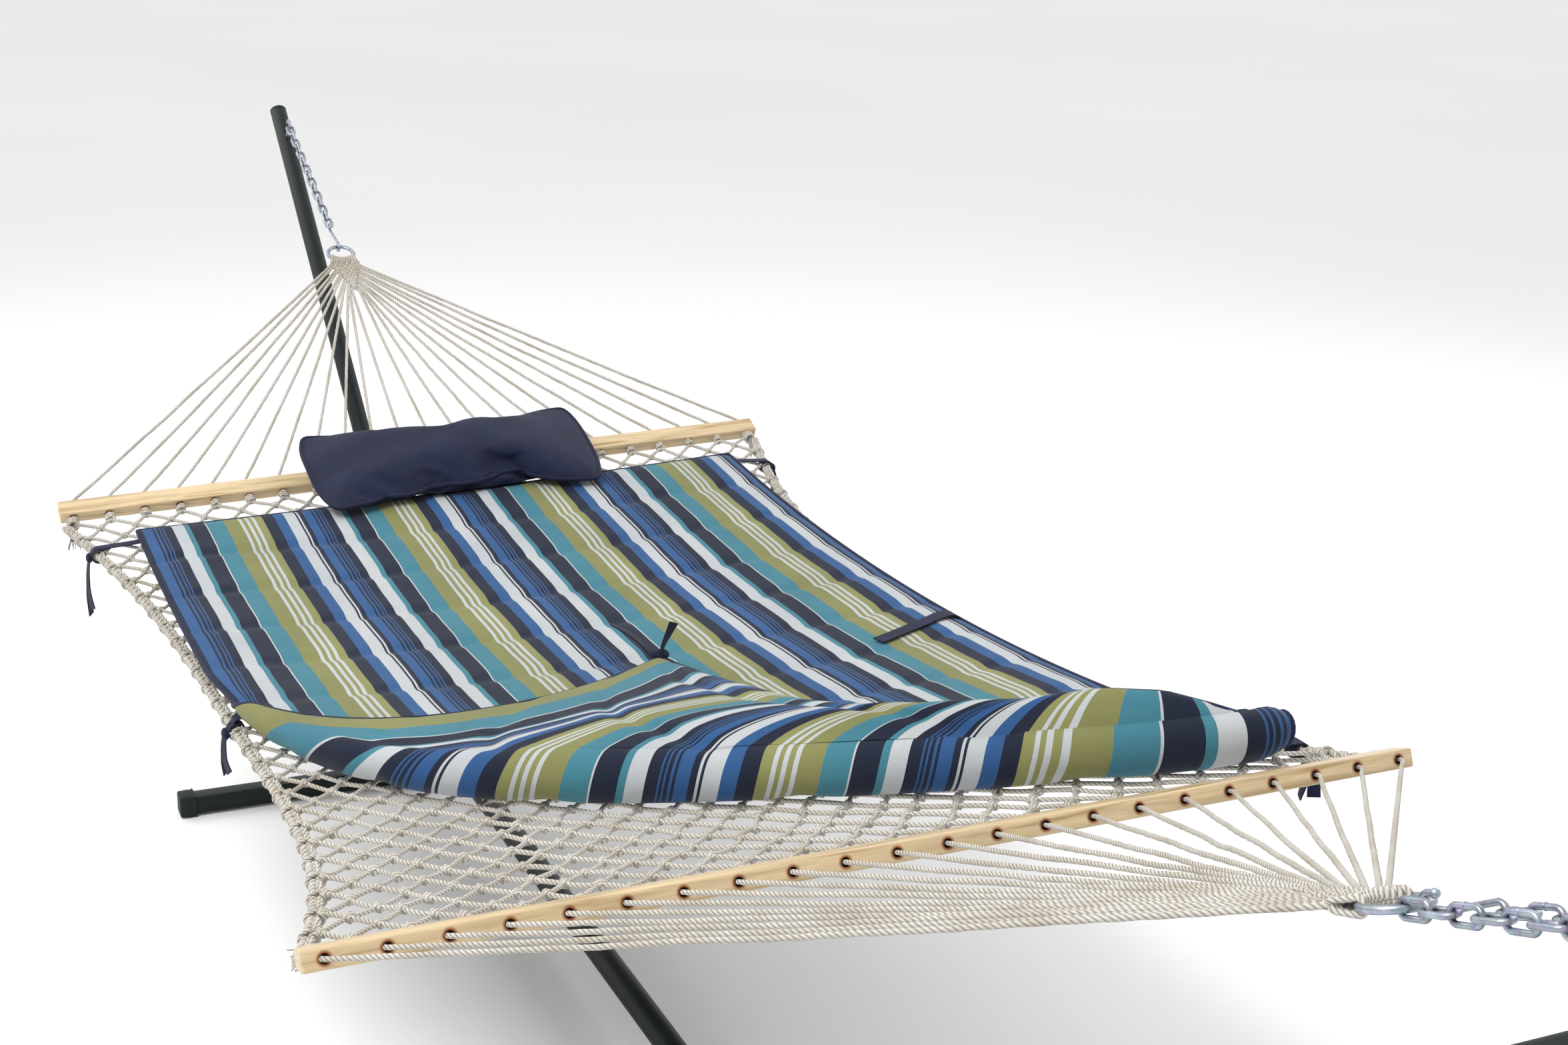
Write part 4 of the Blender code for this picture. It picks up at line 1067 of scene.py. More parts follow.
class HAMMOCK_OT_chains(bpy.types.Operator):
    """Build both chains, link by link, between the hook and the ring, most links leaning a little at random
    """

    bl_idname = "hammock.chains"
    bl_label = "Chains"

    def execute(self, context):
        s = sizes()
        pattern = make_link()
        random.seed(7)
        links = []
        for i in range(15):
            side = Y_AXIS if i % 2 == 0 else HEAD.normal
            lean = math.radians(random.uniform(-7, 7)) if i else 0.0
            links.append(link_copy(pattern, HEAD.along(HOOK_BITE + i * s.link_pitch), HEAD.pull, side, lean))
        self.finish_chain(HEAD, join(links))

        turn = s.link_inner / 2 + s.link_wire
        lower = HOOK_BITE + 2 * turn
        across = turn + s.link_wire + 0.0015
        links = [link_copy(pattern, FOOT.along((HOOK_BITE + lower) / 2, -link_span() / 2), Y_AXIS, FOOT.pull)]
        for side_sign, count in ((-1, 9), (1, 6)):
            for i in range(count):
                side = FOOT.normal if i % 2 == 0 else Y_AXIS
                start = FOOT.along(lower - 2 * s.link_wire + TOUCH + i * s.link_pitch, side_sign * across)
                links.append(link_copy(pattern, start, FOOT.pull, side, math.radians(random.uniform(-5, 5))))
        self.finish_chain(FOOT, join(links))
        bpy.data.objects.remove(pattern)
        return {"FINISHED"}

    def finish_chain(self, end, chain):
        finish_piece(chain, "chain_links_" + end.name, "zinc", None, "chain_" + end.name)
        end.along(0.01)
        end.along(end.ring_distance - 0.05)
        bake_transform(chain)


class HAMMOCK_OT_rings(bpy.types.Operator):
    """Build the rings and the S hooks that hold them"""

    bl_idname = "hammock.rings"
    bl_label = "Rings and S hooks"

    def execute(self, context):
        s = sizes()
        for end in ENDS:
            deselect()
            bpy.ops.mesh.primitive_torus_add(major_radius=s.ring, minor_radius=s.ring_wire, major_segments=72,
                                             minor_segments=20)
            item = context.object
            place(item, end.ring, end.pull, Y_AXIS, end.pull.cross(Y_AXIS))
            finish_piece(item, "steel_ring_" + end.name, "zinc", "hammock", "ring_" + end.name)
            self.build_s_hook(end)
        return {"FINISHED"}

    def build_s_hook(self, end):
        """An S of round wire with ball ends, from the last link to the ring."""
        s = sizes()
        across = middle("s_hook_" + end.name).y
        ring_bend, chain_bend = s.ring_wire + S_WIRE + S_SLACK, s.link_wire + S_WIRE + S_SLACK
        ring_wire = end.ring_distance - math.sqrt(s.ring ** 2 - across ** 2)
        low, high = end.along(ring_wire, across), end.along(ring_wire - S_REACH[end.name], across)
        path = [low + ring_bend * end.normal - 0.008 * end.pull]
        path += arc(low, ring_bend * end.normal, ring_bend * end.pull, math.pi, 16)
        path += arc(high, chain_bend * end.normal, -chain_bend * end.pull, math.pi, 16)
        path.append(high - chain_bend * end.normal + 0.008 * end.pull)
        parts = [rod("s_wire", [path], S_WIRE, sides=18, step=0.002)]
        parts += [ball(tip, (S_BALL, S_BALL, S_BALL)) for tip in (path[0], path[-1])]
        finish_piece(join(parts), "ball_end_s_hook_" + end.name, "zinc", "hammock", "s_hook_" + end.name)


# ---------------------------------------------------------------- spreader bars
class HAMMOCK_OT_bars(bpy.types.Operator):
    """Build the bored wooden spreader bars"""

    bl_idname = "hammock.bars"
    bl_label = "Spreader bars"

    def execute(self, context):
        s = sizes()
        half = (s.cord_count - 1) / 2 * s.hole_pitch + s.bar_end
        for end in ENDS:
            deselect()
            bpy.ops.mesh.primitive_cube_add(size=1.0)
            bar = context.object
            bar.scale = (s.bar_depth, 2 * half, s.bar_height)
            settle(bar)
            bevel(bar, 0.0032, 3)
            drills = []
            for i in range(s.cord_count):
                bpy.ops.mesh.primitive_cylinder_add(
                    vertices=24, radius=s.hole, depth=0.1, rotation=(0, math.radians(90), 0),
                    location=(0, (i - (s.cord_count - 1) / 2) * s.hole_pitch, 0))
                drills.append(context.object)
                settle(context.object)
            cutter = join(drills)
            modifier = bar.modifiers.new("holes", "BOOLEAN")
            modifier.operation = "DIFFERENCE"
            modifier.object = cutter
            apply_modifier(bar, "holes")
            bpy.data.objects.remove(cutter)
            bevel(bar, 0.0007, 1, 60)
            layer = bar.data.uv_layers[0]
            layer.name = "UVMap"
            for loop in bar.data.loops:
                spot = bar.data.vertices[loop.vertex_index].co
                hole = spot.y / s.hole_pitch + (s.cord_count - 1) / 2
                layer.data[loop.index].uv = (hole, spot.z / s.hole_pitch)
            place(bar, end.bar, end.pull, end.bar_axis, end.pull.cross(end.bar_axis))
            finish_piece(bar, "oak_bar_" + end.name, "oak", "hammock", "spreader_bar_" + end.name)
        return {"FINISHED"}


# ---------------------------------------------------------------- clews
ROW_START, ROW_PITCH = 0.012, 0.0090      # the first crossing past the ring's wire, and from one to the next
LOOP_PITCH = 0.0060


class HAMMOCK_OT_clews(bpy.types.Operator):
    """Build each clew: cords looped over the ring, woven to a point and led to the holes"""

    bl_idname = "hammock.clews"
    bl_label = "Clews"

    def execute(self, context):
        for seed, end in enumerate(ENDS):
            random.seed(30 + seed)
            self.build_clew(end)
        return {"FINISHED"}

    def build_clew(self, end):
        s = sizes()
        rows = s.cord_count // 2
        last = rows - 1
        shoulder = s.ring + s.ring_wire + ROW_START

        def spot(distance, across, off=0.0):
            return end.along(end.ring_distance + distance, across, off)

        def column_y(column, row):
            return (column - last / 2) * LOOP_PITCH * (1 - 0.30 * max(row, 0) / last)

        paths, knots = [], []
        for column in range(rows):
            inner = min(column, last - column)
            over_ring = (column - last / 2) * LOOP_PITCH * 0.76
            top = math.sqrt(s.ring ** 2 - over_ring ** 2)
            wrap = s.ring_wire + s.cord * 0.9
            for leg in (0, 1):
                row = min(2 * inner + leg, last)
                sign = 1 if leg else -1
                path = arc(spot(top, over_ring), -wrap * end.pull, sign * wrap * end.normal, math.pi / 2, 6)
                shift = 0.0012 * sign
                path.append(spot(shoulder - 0.008, column_y(column, 0) * 0.93 + shift, sign * 0.0045))
                for step in range(row):
                    lift = 0.0029 * sign * (-1) ** (step + column)
                    path.append(spot(shoulder + step * ROW_PITCH, column_y(column, step) + shift, lift))
                to_right = (column < last / 2) if column != last / 2 else leg == 0
                heading = 1 if to_right else -1
                weft = shoulder + row * ROW_PITCH + heading * 0.0022
                path.append(spot(weft - 0.003, column_y(column, row), 0.0))
                reach = max(abs(column_y(inner if to_right else last - inner, row)) + 0.0035, 0.004)
                begin = column_y(column, row) + heading * 0.004
                span_y = heading * reach - begin
                for i in range(1, 4):
                    path.append(spot(weft, begin + span_y * i / 4, 0.0))
                path.append(spot(weft + 0.0016, heading * reach, 0.0))
                index = (s.cord_count - 1 - row) if to_right else row
                hole = end.hole(index)
                leave = spot(weft + 0.008, heading * (reach + 0.004), 0.0)
                entry = hole - (s.bar_depth / 2 + 0.006) * end.pull
                path.append(leave)
                for i in range(1, 12):
                    share = i / 12
                    sag = 0.0035 * math.sin(math.pi * share) * random.uniform(0.3, 1.0)
                    path.append(leave + (entry - leave) * share - sag * Z_AXIS)
                path += [entry, hole, hole + (s.bar_depth / 2 + 0.002) * end.pull]
                paths.append(path)
                knots.append(self.knot(end, hole))
        parts = [rope("cords", paths, s.cord, step=0.006),
                 rope("knots", knots, s.cord * 1.12, sides=8, step=0.0025)]
        parts += [self.tassel(end, end.hole(index)) for index in (0, s.cord_count - 1)]
        finish_piece(join(parts), "woven_clew_" + end.name, "cord", "hammock", "clew_" + end.name, angle=80)

    def knot(self, end, hole):
        """Two turns and a tuck of the cord behind the bar."""
        s = sizes()
        up = end.pull.cross(end.bar_axis)
        base = hole + (s.bar_depth / 2) * end.pull
        turn = random.uniform(0, 2 * math.pi)
        path = [base]
        for i in range(22):
            share = i / 21
            angle = turn + share * 2.2 * 2 * math.pi
            reach = 0.0060 + 0.0010 * math.sin(9 * share)
            path.append(base + (0.0035 + 0.0105 * share) * end.pull
                        + reach * (math.cos(angle) * end.bar_axis + math.sin(angle) * up))
        path.append(base + 0.006 * end.pull + 0.0062 * (math.cos(turn) * end.bar_axis + math.sin(turn) * up))
        path.append(base + (s.net_start - s.bar_depth / 2) * end.pull)
        return path

    def tassel(self, end, hole):
        """The big knot of an outermost cord, with its short frayed tail."""
        s = sizes()
        side = math.copysign(1.0, hole.y)
        base = hole + (s.bar_depth / 2 + 0.012) * end.pull + 0.004 * side * end.bar_axis
        coil = []
        for i in range(26):
            share = i / 25
            angle = share * 3 * 2 * math.pi
            coil.append(base + (0.013 * share - 0.004) * end.pull
                        + 0.0082 * (math.cos(angle) * end.bar_axis + math.sin(angle) * Z_AXIS))
        tail = rope("coil", [coil], s.cord * 1.05, step=0.0025)
        hairs = []
        for i in range(34):
            drift = Vector([random.uniform(-1, 1) for _ in range(3)]) * 0.006
            start = base + 0.010 * end.pull + drift * 0.4
            middle_spot = start + 0.014 * end.pull + drift * 0.6 - 0.003 * Z_AXIS
            tip = middle_spot + 0.014 * end.pull + drift * 1.3 - 0.008 * Z_AXIS + 0.003 * side * Y_AXIS
            hairs.append([start, middle_spot, tip])
        fray = rope("fray", hairs, 0.0007, sides=5, step=0.005, strands=0)
        return join([tail, fray])


# ---------------------------------------------------------------- net and edge ropes
PLAIT_STRAND, PLAIT_LAY = 0.0041, 0.018      # radius of a strand, and the length in which it turns once
PLAIT_PITCH, PLAIT_STEPS = 0.050, 1300


def edge_line(side, x):
    """Middle of an edge rope."""
    y = side * (net_half_width(x) - 0.009)
    return Vector((x, y, net_z(x, y) - 0.005))


class HAMMOCK_OT_net(bpy.types.Operator):
    """Build the knotted net and the plaited ropes along its two edges"""

    bl_idname = "hammock.net"
    bl_label = "Net and edge ropes"

    def execute(self, context):
        s = sizes()
        random.seed(11)
        nodes = self.lattice()
        columns = s.cord_count - 1
        paths = []
        for j in range(columns):
            for lean in (0, 1):
                path = []
                for row in range(s.net_rows + 1):
                    column = j if row % 2 else j + lean
                    path.append(nodes[row, column])
                fine = []
                for start, stop in zip(path, path[1:]):
                    across = (stop - start).cross(Z_AXIS).normalized()
                    bow = random.uniform(-0.0022, 0.0022) + (0.0012 if lean else -0.0012)
                    fine += [start] + [start.lerp(stop, share) + bow * across for share in (0.3, 0.7)]
                fine.append(path[-1])
                paths.append(fine)
        net = rope("net_strands", paths, s.cord, sides=6, step=None, strands=0)
        knots = self.knots(nodes)
        finish_piece(join([net, knots]), "knotted_net", "cord", "hammock", "net", angle=85)
        for side in (-1, 1):
            self.edge_rope(side, nodes)
        return {"FINISHED"}

    def lattice(self):
        """Every knot of the net by (row, column); odd rows are half a cell further."""
        s = sizes()
        head, foot = net_ends()
        nodes = {}
        for row in range(s.net_rows + 1):
            count = s.cord_count if row % 2 == 0 else s.cord_count - 1
            for column in range(count):
                share = (column + (0.5 if row % 2 else 0.0)) / (s.cord_count - 1)
                place_x = head.x + (foot.x - head.x) * row / s.net_rows
                inset = 0.0186 + 0.0062 * (1 - smooth_step(min(row, s.net_rows - row) / 4))
                y = (2 * share - 1) * (net_half_width(place_x) - inset)
                free = row not in (0, s.net_rows) and 0 < share < 1
                if free:
                    place_x += random.uniform(-0.005, 0.005)
                    y += random.uniform(-0.004, 0.004)
                z = net_z(place_x, y) + (random.uniform(-0.002, 0.0015) if free else 0.0)
                nodes[row, column] = Vector((place_x, y, z))
        return nodes

    def knots(self, nodes):
        """A lump where two cords are knotted together."""
        s = sizes()
        deselect()
        bpy.ops.mesh.primitive_ico_sphere_add(subdivisions=2, radius=1.0)
        pattern = bpy.context.object
        spots = np.array([tuple(v.co) for v in pattern.data.vertices])
        shapes = [tuple(p.vertices) for p in pattern.data.polygons]
        bpy.data.objects.remove(pattern)
        lobes = 1 + 0.16 * np.cos(2 * np.arctan2(spots[:, 2], spots[:, 1]) + 3.2 * spots[:, 0])
        points, faces, uvs = [], [], []
        for (row, column), centre in nodes.items():
            if row in (0, s.net_rows):
                continue
            turn = random.uniform(-0.5, 0.5)
            size = np.array((0.0080, 0.0068, 0.0062)) * random.uniform(0.9, 1.12)
            body = spots * size * lobes[:, None]
            cos_t, sin_t = math.cos(turn), math.sin(turn)
            body = body @ np.array(((cos_t, sin_t, 0), (-sin_t, cos_t, 0), (0, 0, 1)))
            base = len(points)
            points.extend(body + np.array(tuple(centre)))
            for shape in shapes:
                faces.append(tuple(base + k for k in shape))
                for k in shape:
                    around = math.atan2(spots[k, 2], spots[k, 1]) / (2 * math.pi)
                    uvs.append((around, 0.012 * spots[k, 0]))
        return new_mesh("net_knots", points, faces, uvs)

    def edge_rope(self, side, nodes):
        """Three thick strands plaited along the net's edge, with the net tied round them."""
        s = sizes()
        head, foot = net_ends()
        paths = [[], [], []]
        steps = PLAIT_STEPS
        travel = 0.0
        last = edge_line(side, head.x + 0.004)
        for i in range(steps + 1):
            centre = edge_line(side, head.x + 0.004 + (foot.x - head.x - 0.008) * i / steps)
            travel += (centre - last).length
            last = centre
            for k, path in enumerate(paths):
                turn = 2 * math.pi * (travel / PLAIT_PITCH + k / 3)
                path.append(centre + Vector((0, 0.0052 * math.sin(turn), 0.0032 * math.sin(2 * turn))))
        plait = rope("plait", paths, PLAIT_STRAND, step=None, lay=PLAIT_LAY)
        loops = []
        for row in range(2, s.net_rows, 2):
            knot = nodes[row, 0 if side < 0 else s.cord_count - 1]
            centre = edge_line(side, knot.x)
            loop = [knot + Vector((-0.006, 0, 0))]
            for i in range(9):
                angle = math.pi * (1.15 - 1.25 * i / 4)
                loop.append(centre + Vector((0.0012 * (i - 4), side * 0.0098 * math.cos(angle),
                                             0.0085 * math.sin(angle))))
            loop.append(knot + Vector((0.006, 0, 0)))
            loops.append(loop)
        ties = rope("edge_loops", loops, s.cord * 0.9, sides=7, step=0.004)
        label = "left" if side < 0 else "right"
        finish_piece(join([plait, ties]), "plaited_edge_" + label, "braid", "hammock", "edge_rope_" + label,
                     angle=85)


# ---------------------------------------------------------------- pad
PAD_HEAD_X, PAD_HALF = -0.792, 0.580
TIE_START, TIE_END = 0.110, 1.030
CREASE = ((0.0, 0.050), (0.04, 0.240), (0.1, 0.420), (0.2, 0.560), (0.3, 0.640), (0.4, 0.710), (0.5, 0.790),
          (0.6, 0.865), (0.7, 0.925), (0.8, 0.965), (0.9, 1.000), (1.0, 1.030))
CREASE_FIT = np.polyfit([math.sqrt(p[0]) for p in CREASE], [p[1] for p in CREASE], 5)
# the folded part's free edge: share of the width, x, y and height of its middle over the seat
FREE_EDGE = ((0.0, 0.190, 0.048, 0.062), (0.085, 0.335, 0.068, 0.068), (0.166, 0.455, 0.086, 0.076),
             (0.255, 0.600, 0.102, 0.084), (0.35, 0.725, 0.128, 0.090), (0.42, 0.790, 0.160, 0.094),
             (0.50, 0.830, 0.205, 0.098), (0.60, 0.868, 0.265, 0.104), (0.743, 0.908, 0.365, 0.112),
             (0.85, 0.950, 0.430, 0.104), (0.93, 0.985, 0.490, 0.080), (1.0, 1.000, 0.545, 0.052))
PAD_SEAT = 0.0078           # net's middle to the pad's lower side


def crease(share):
    """Where the pad is folded over, for a share of its width from its -Y edge."""
    return Vector((float(np.polyval(CREASE_FIT, math.sqrt(share))), PAD_HALF * (2 * share - 1), 0))


def crease_turn(share):
    """Angle of the crease to the length of the pad."""
    root = math.sqrt(max(share, 4e-4))
    slope = float(np.polyval(np.polyder(CREASE_FIT), root)) / (2 * root)
    return math.atan2(2 * PAD_HALF, max(slope, 0.05))


def free_edge(share):
    """The folded part's free edge from above, and its height over the seat."""
    places = [p[0] for p in FREE_EDGE]
    x, y, lift = (float(np.interp(share, places, [p[k] for p in FREE_EDGE])) for k in (1, 2, 3))
    return Vector((x, y, 0)), lift


def seat_z(x, y):
    return net_z(x, y) + PAD_SEAT


LOWER_ROWS, BEND_ROWS, FLAP_ROWS = 104, 11, 56


def pad_column(share):
    """Middle line of the pad from its head end over the crease to its free edge."""
    half = sizes().pad_thickness / 2
    fold = crease(share)
    turn = crease_turn(share)
    outward = Vector((math.sin(turn), -math.cos(turn), 0))
    forward = Vector((math.cos(turn), math.sin(turn), 0))
    bend = 0.012 + 0.011 * smooth_step(share / 0.25)
    heart = fold - bend * outward
    line = []
    for i in range(LOWER_ROWS):
        x = PAD_HEAD_X + (heart.x - PAD_HEAD_X) * i / LOWER_ROWS
        y = fold.y + (heart.y - fold.y) * smooth_step((x - (heart.x - 0.16)) / 0.16)
        line.append(Vector((x, y, seat_z(x, y) + half)))
    slide = min(0.042 / max(math.tan(turn), 0.1), 0.095) * smooth_step((1.05 - share) / 0.3)
    for i in range(BEND_ROWS):
        angle = math.pi * (i / (BEND_ROWS - 1) - 0.5)
        spot = heart + bend * math.cos(angle) * outward + slide * (i / (BEND_ROWS - 1)) * forward
        line.append(Vector((spot.x, spot.y, seat_z(spot.x, spot.y) + half + bend + bend * math.sin(angle))))
    start = heart + slide * forward
    target, end_lift = free_edge(share)
    away = (target - start).length
    pull = (0.30 + 0.40 * (1 - share) ** 8) * away
    control = start + pull * Vector((math.cos(2 * turn), math.sin(2 * turn), 0))
    begin_lift = half + 2 * bend
    for i in range(1, FLAP_ROWS + 1):
        t = i / FLAP_ROWS
        spot = (1 - t) ** 2 * start + 2 * t * (1 - t) * control + t * t * target
        arch = 0.016 * math.sin(math.pi * t) * smooth_step(away / 0.3)
        rise = begin_lift + (end_lift - begin_lift) * (0.6 * t + 0.4 * smooth_step(t)) + arch
        line.append(Vector((spot.x, spot.y, seat_z(spot.x, spot.y) + rise)))
    return line


class HAMMOCK_OT_pad(bpy.types.Operator):
    """Build the quilted striped pad, its foot corner folded over"""

    bl_idname = "hammock.pad"
    bl_label = "Pad"

    def execute(self, context):
        s = sizes()
        columns = 72
        shares = [(i / columns) ** 1.5 for i in range(columns + 1)]
        grid = np.array([[tuple(p) for p in pad_column(share)] for share in shares])
        steps = np.linalg.norm(np.diff(grid, axis=1), axis=2)
        travel = np.concatenate([np.zeros((columns + 1, 1)), np.cumsum(steps, axis=1)], axis=1)
        normals = self.normals(grid)
        flat_y = PAD_HALF * (2 * np.array(shares) - 1)
        rows = grid.shape[1]
        face, back = np.zeros_like(grid), np.zeros_like(grid)
        for i in range(columns + 1):
            for j in range(rows):
                length_on = travel[i, j]
                rim = min(length_on, travel[i, -1] - length_on, PAD_HALF - abs(flat_y[i]))
                hem = math.sqrt(min(max(rim / 0.045, 0.0), 1.0)) * 0.80 + 0.20
                seam = abs((length_on + s.quilt / 2) % s.quilt - s.quilt / 2)
                tuck = math.exp(-(seam / 0.013) ** 2)
                wave = math.sin(flat_y[i] * 260 + 9 * math.sin(length_on * 7))
                pucker = 0.0011 * math.exp(-(seam / 0.03) ** 2) * wave
                spot = Vector((flat_y[i] * 5.5, length_on * 4.2, 0.7))
                wrinkle = 0.0042 * noise.noise(spot) + 0.0018 * noise.noise(spot * 3.1)
                half = s.pad_thickness / 2 * hem * (1 - 0.42 * tuck)
                swell = wrinkle * min(rim / 0.03, 1.0) + pucker
                on_flap = j >= LOWER_ROWS + BEND_ROWS
                face[i, j] = grid[i, j] + normals[i, j] * (half + (swell if not on_flap else 0.0))
                back[i, j] = grid[i, j] - normals[i, j] * (half + (swell if on_flap else 0.0))
        pad = self.build_sheet(face, back, shares, travel)
        edges = self.piping(grid)
        modifier = pad.modifiers.new("soft", "SUBSURF")
        modifier.levels = 1
        apply_modifier(pad, "soft")
        finish_piece(pad, "quilted_pad", "stripes", "hammock", "pad", angle=89)
        finish_piece(edges, "pad_piping", "navy", "hammock", angle=80)
        return {"FINISHED"}

    def normals(self, grid):
        along = np.gradient(grid, axis=1)
        across = np.gradient(grid, axis=0)
        normals = np.cross(along, across)
        normals /= np.linalg.norm(normals, axis=2)[:, :, None] + 1e-12
        flip = np.sign(normals[:, :LOWER_ROWS // 2, 2].mean())
        return normals * flip

    def build_sheet(self, face, back, shares, travel):
        """Both sides of the pad, joined round their rim; the stripes run from head to foot."""
        count, rows = face.shape[:2]
        points = np.concatenate([face.reshape(-1, 3), back.reshape(-1, 3)])
        shift = count * rows
        faces, uvs = [], []

        def uv(i, j, side):
            if side:
                across = 4.09 * min(shares[i], 0.72) + 2.2 * max(shares[i] - 0.72, 0.0)
                return (0.59 - across, travel[i][j])
            return ((shares[i] - 0.005) / 0.2446 + 4.0, travel[i][j])

        for i in range(count - 1):
            for j in range(rows - 1):
                corners = ((i, j), (i, j + 1), (i + 1, j + 1), (i + 1, j))
                faces.append(tuple(a * rows + b for a, b in corners))
                uvs += [uv(a, b, False) for a, b in corners]
                faces.append(tuple(shift + a * rows + b for a, b in corners[::-1]))
                uvs += [uv(a, b, True) for a, b in corners[::-1]]
        rim = [(i, 0) for i in range(count)] + [(count - 1, j) for j in range(1, rows)]
        rim += [(i, rows - 1) for i in range(count - 2, -1, -1)] + [(0, j) for j in range(rows - 2, 0, -1)]
        for first, second in zip(rim, rim[1:] + rim[:1]):
            (a, b), (c, d) = first, second
            faces.append((a * rows + b, c * rows + d, shift + c * rows + d, shift + a * rows + b))
            uvs += [uv(a, b, False), uv(c, d, False), uv(c, d, False), uv(a, b, False)]
        item = new_mesh("pad", points, faces, uvs)
        activate(item)
        bpy.ops.object.mode_set(mode="EDIT")
        bpy.ops.mesh.select_all(action="SELECT")
        bpy.ops.mesh.normals_make_consistent(inside=False)
        bpy.ops.object.mode_set(mode="OBJECT")
        return item

    def piping(self, grid):
        """The corded edge all round the pad."""
        s = sizes()
        count, rows = grid.shape[:2]
        loop = [grid[0, j] for j in range(0, rows - 1)]
        loop += [grid[i, rows - 1] for i in range(0, count - 1)]
        loop += [grid[count - 1, j] for j in range(rows - 1, 0, -1)]
        loop += [grid[i, 0] for i in range(count - 1, 0, -1)]
        path = [Vector(p) for p in loop]
        return rod("piping", [path], s.piping, sides=10, step=None, closed=True)


# ---------------------------------------------------------------- pillow
FILL_FRAMES, FILL_PRESSURE = 26, 4.2        # how long and how hard the pillow's cloth is blown up
DENT_X, DENT_Y, DENT_DEPTH = 0.055, 0.045, 0.020


def pillow_shell(long_count, wide_count, half_x, half_y, thickness):
    """A flat closed bag of two cloths: its points, faces and the indices of its seam."""
    points, faces = [], []
    index = {}
    for side in (0, 1):
        for i in range(wide_count + 1):
            for j in range(long_count + 1):
                rim = i in (0, wide_count) or j in (0, long_count)
                if side and rim:
                    index[side, i, j] = index[0, i, j]
                    continue
                a, b = 2 * i / wide_count - 1, 2 * j / long_count - 1
                bulge = 0.0 if rim else ((1 - a ** 4) * (1 - b ** 6)) ** 0.5
                rise = (thickness if side else -thickness) * bulge
                corner = 1 - 0.03 * a ** 4 * b ** 4
                corner += 0.03 * (1 - a * a) * abs(b) + 0.08 * (1 - b * b) * abs(a)
                index[side, i, j] = len(points)
                points.append((a * half_x * corner, b * half_y * corner, rise))
    for side in (0, 1):
        for i in range(wide_count):
            for j in range(long_count):
                loop = [index[side, i + m, j + n] for m, n in ((0, 0), (1, 0), (1, 1), (0, 1))]
                faces.append(tuple(loop if side else loop[::-1]))
    seam = [index[0, i, 0] for i in range(wide_count)] + [index[0, wide_count, j] for j in range(long_count)]
    seam += [index[0, i, long_count] for i in range(wide_count, 0, -1)]
    seam += [index[0, 0, j] for j in range(long_count, 0, -1)]
    return points, faces, seam


class HAMMOCK_OT_pillow(bpy.types.Operator):
    """Fill the pillow by simulation and lay it over the head bar, with a dent in it"""

    bl_idname = "hammock.pillow"
    bl_label = "Pillow"

    def execute(self, context):
        low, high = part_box("pillow")
        centre, size = (low + high) / 2, high - low
        thickness = 0.012
        points, faces, seam = pillow_shell(64, 32, size.x / 2 * 1.07, size.y / 2 * 1.03, thickness)
        pillow = new_mesh("pillow_cloth", points, faces)
        self.fill(pillow)
        count = len(points)
        flat = np.empty(count * 3)
        pillow.data.vertices.foreach_get("co", flat)
        shape = flat.reshape(-1, 3)
        shape -= (shape.min(0) + shape.max(0)) / 2
        extent = shape.max(0) - shape.min(0)
        shape *= np.array(((size.x - 0.006) / extent[0], (size.y - 0.006) / extent[1],
                           min((size.z - 0.012) / extent[2], 2.0)))
        pad_top = sizes().pad_thickness + 0.001
        bar_top = HEAD.bar.z + sizes().bar_depth / 2 + 0.002
        for k in range(count):
            x, y, z = shape[k]
            dent = DENT_DEPTH * math.exp(-((x - DENT_X) / 0.05) ** 2 - ((y - DENT_Y) / 0.045) ** 2)
            crumple = 0.0045 * noise.noise(Vector((x * 13, y * 9, z * 6)))
            if z > -0.01:
                shape[k, 2] -= dent * min((z + 0.01) / 0.03, 1.0) - crumple
            lean = (0.02 + y) * math.sin(TILTS["head"])
            shape[k, 2] += lean * 0.8 - x * 0.27 - 0.034
            here = shape[k] + np.array(tuple(centre))
            rest = seat_z(here[0], here[1]) + pad_top if here[0] > PAD_HEAD_X else 0.0
            if abs(here[0] - HEAD.bar.x) < 0.032:
                rest = bar_top + here[1] * math.sin(TILTS["head"])
            shape[k, 2] = max(shape[k, 2], rest - centre.z)
        pillow.data.vertices.foreach_set("co", (shape + np.array(tuple(centre))).ravel())
        pillow.data.update()
        modifier = pillow.modifiers.new("soft", "SUBSURF")
        modifier.levels = 1
        line = [Vector(shape[k]) + centre for k in seam]
        fine = [sum((line[(k + d) % len(line)] for d in (-1, 0, 1)), Vector()) / 3 for k in range(len(line))]
        apply_modifier(pillow, "soft")
        finish_piece(pillow, "navy_pillow", "navy", "pillow", "pillow", angle=89)
        piping = rod("pillow_piping", [fine], sizes().piping * 0.9, sides=10, step=None, closed=True)
        finish_piece(piping, "pillow_cord", "webbing", "pillow", angle=80)
        return {"FINISHED"}

    def fill(self, pillow):
        """Blow the bag up as cloth, so that its seams pucker."""
        scene = bpy.context.scene
        scene.frame_start, scene.frame_end = 1, FILL_FRAMES
        scene.frame_set(1)
        modifier = pillow.modifiers.new("cloth", "CLOTH")
        settings = modifier.settings
        settings.quality = 6
        settings.mass = 0.25
        settings.tension_stiffness = 22
        settings.compression_stiffness = 18
        settings.shear_stiffness = 8
        settings.bending_stiffness = 0.35
        settings.use_pressure = True
        settings.uniform_pressure_force = FILL_PRESSURE
        settings.effector_weights.gravity = 0.0
        modifier.collision_settings.use_collision = False
        modifier.point_cache.frame_start, modifier.point_cache.frame_end = 1, FILL_FRAMES
        for step in range(2, FILL_FRAMES + 1):
            scene.frame_set(step)
        apply_modifier(pillow, "cloth")
        scene.frame_set(1)


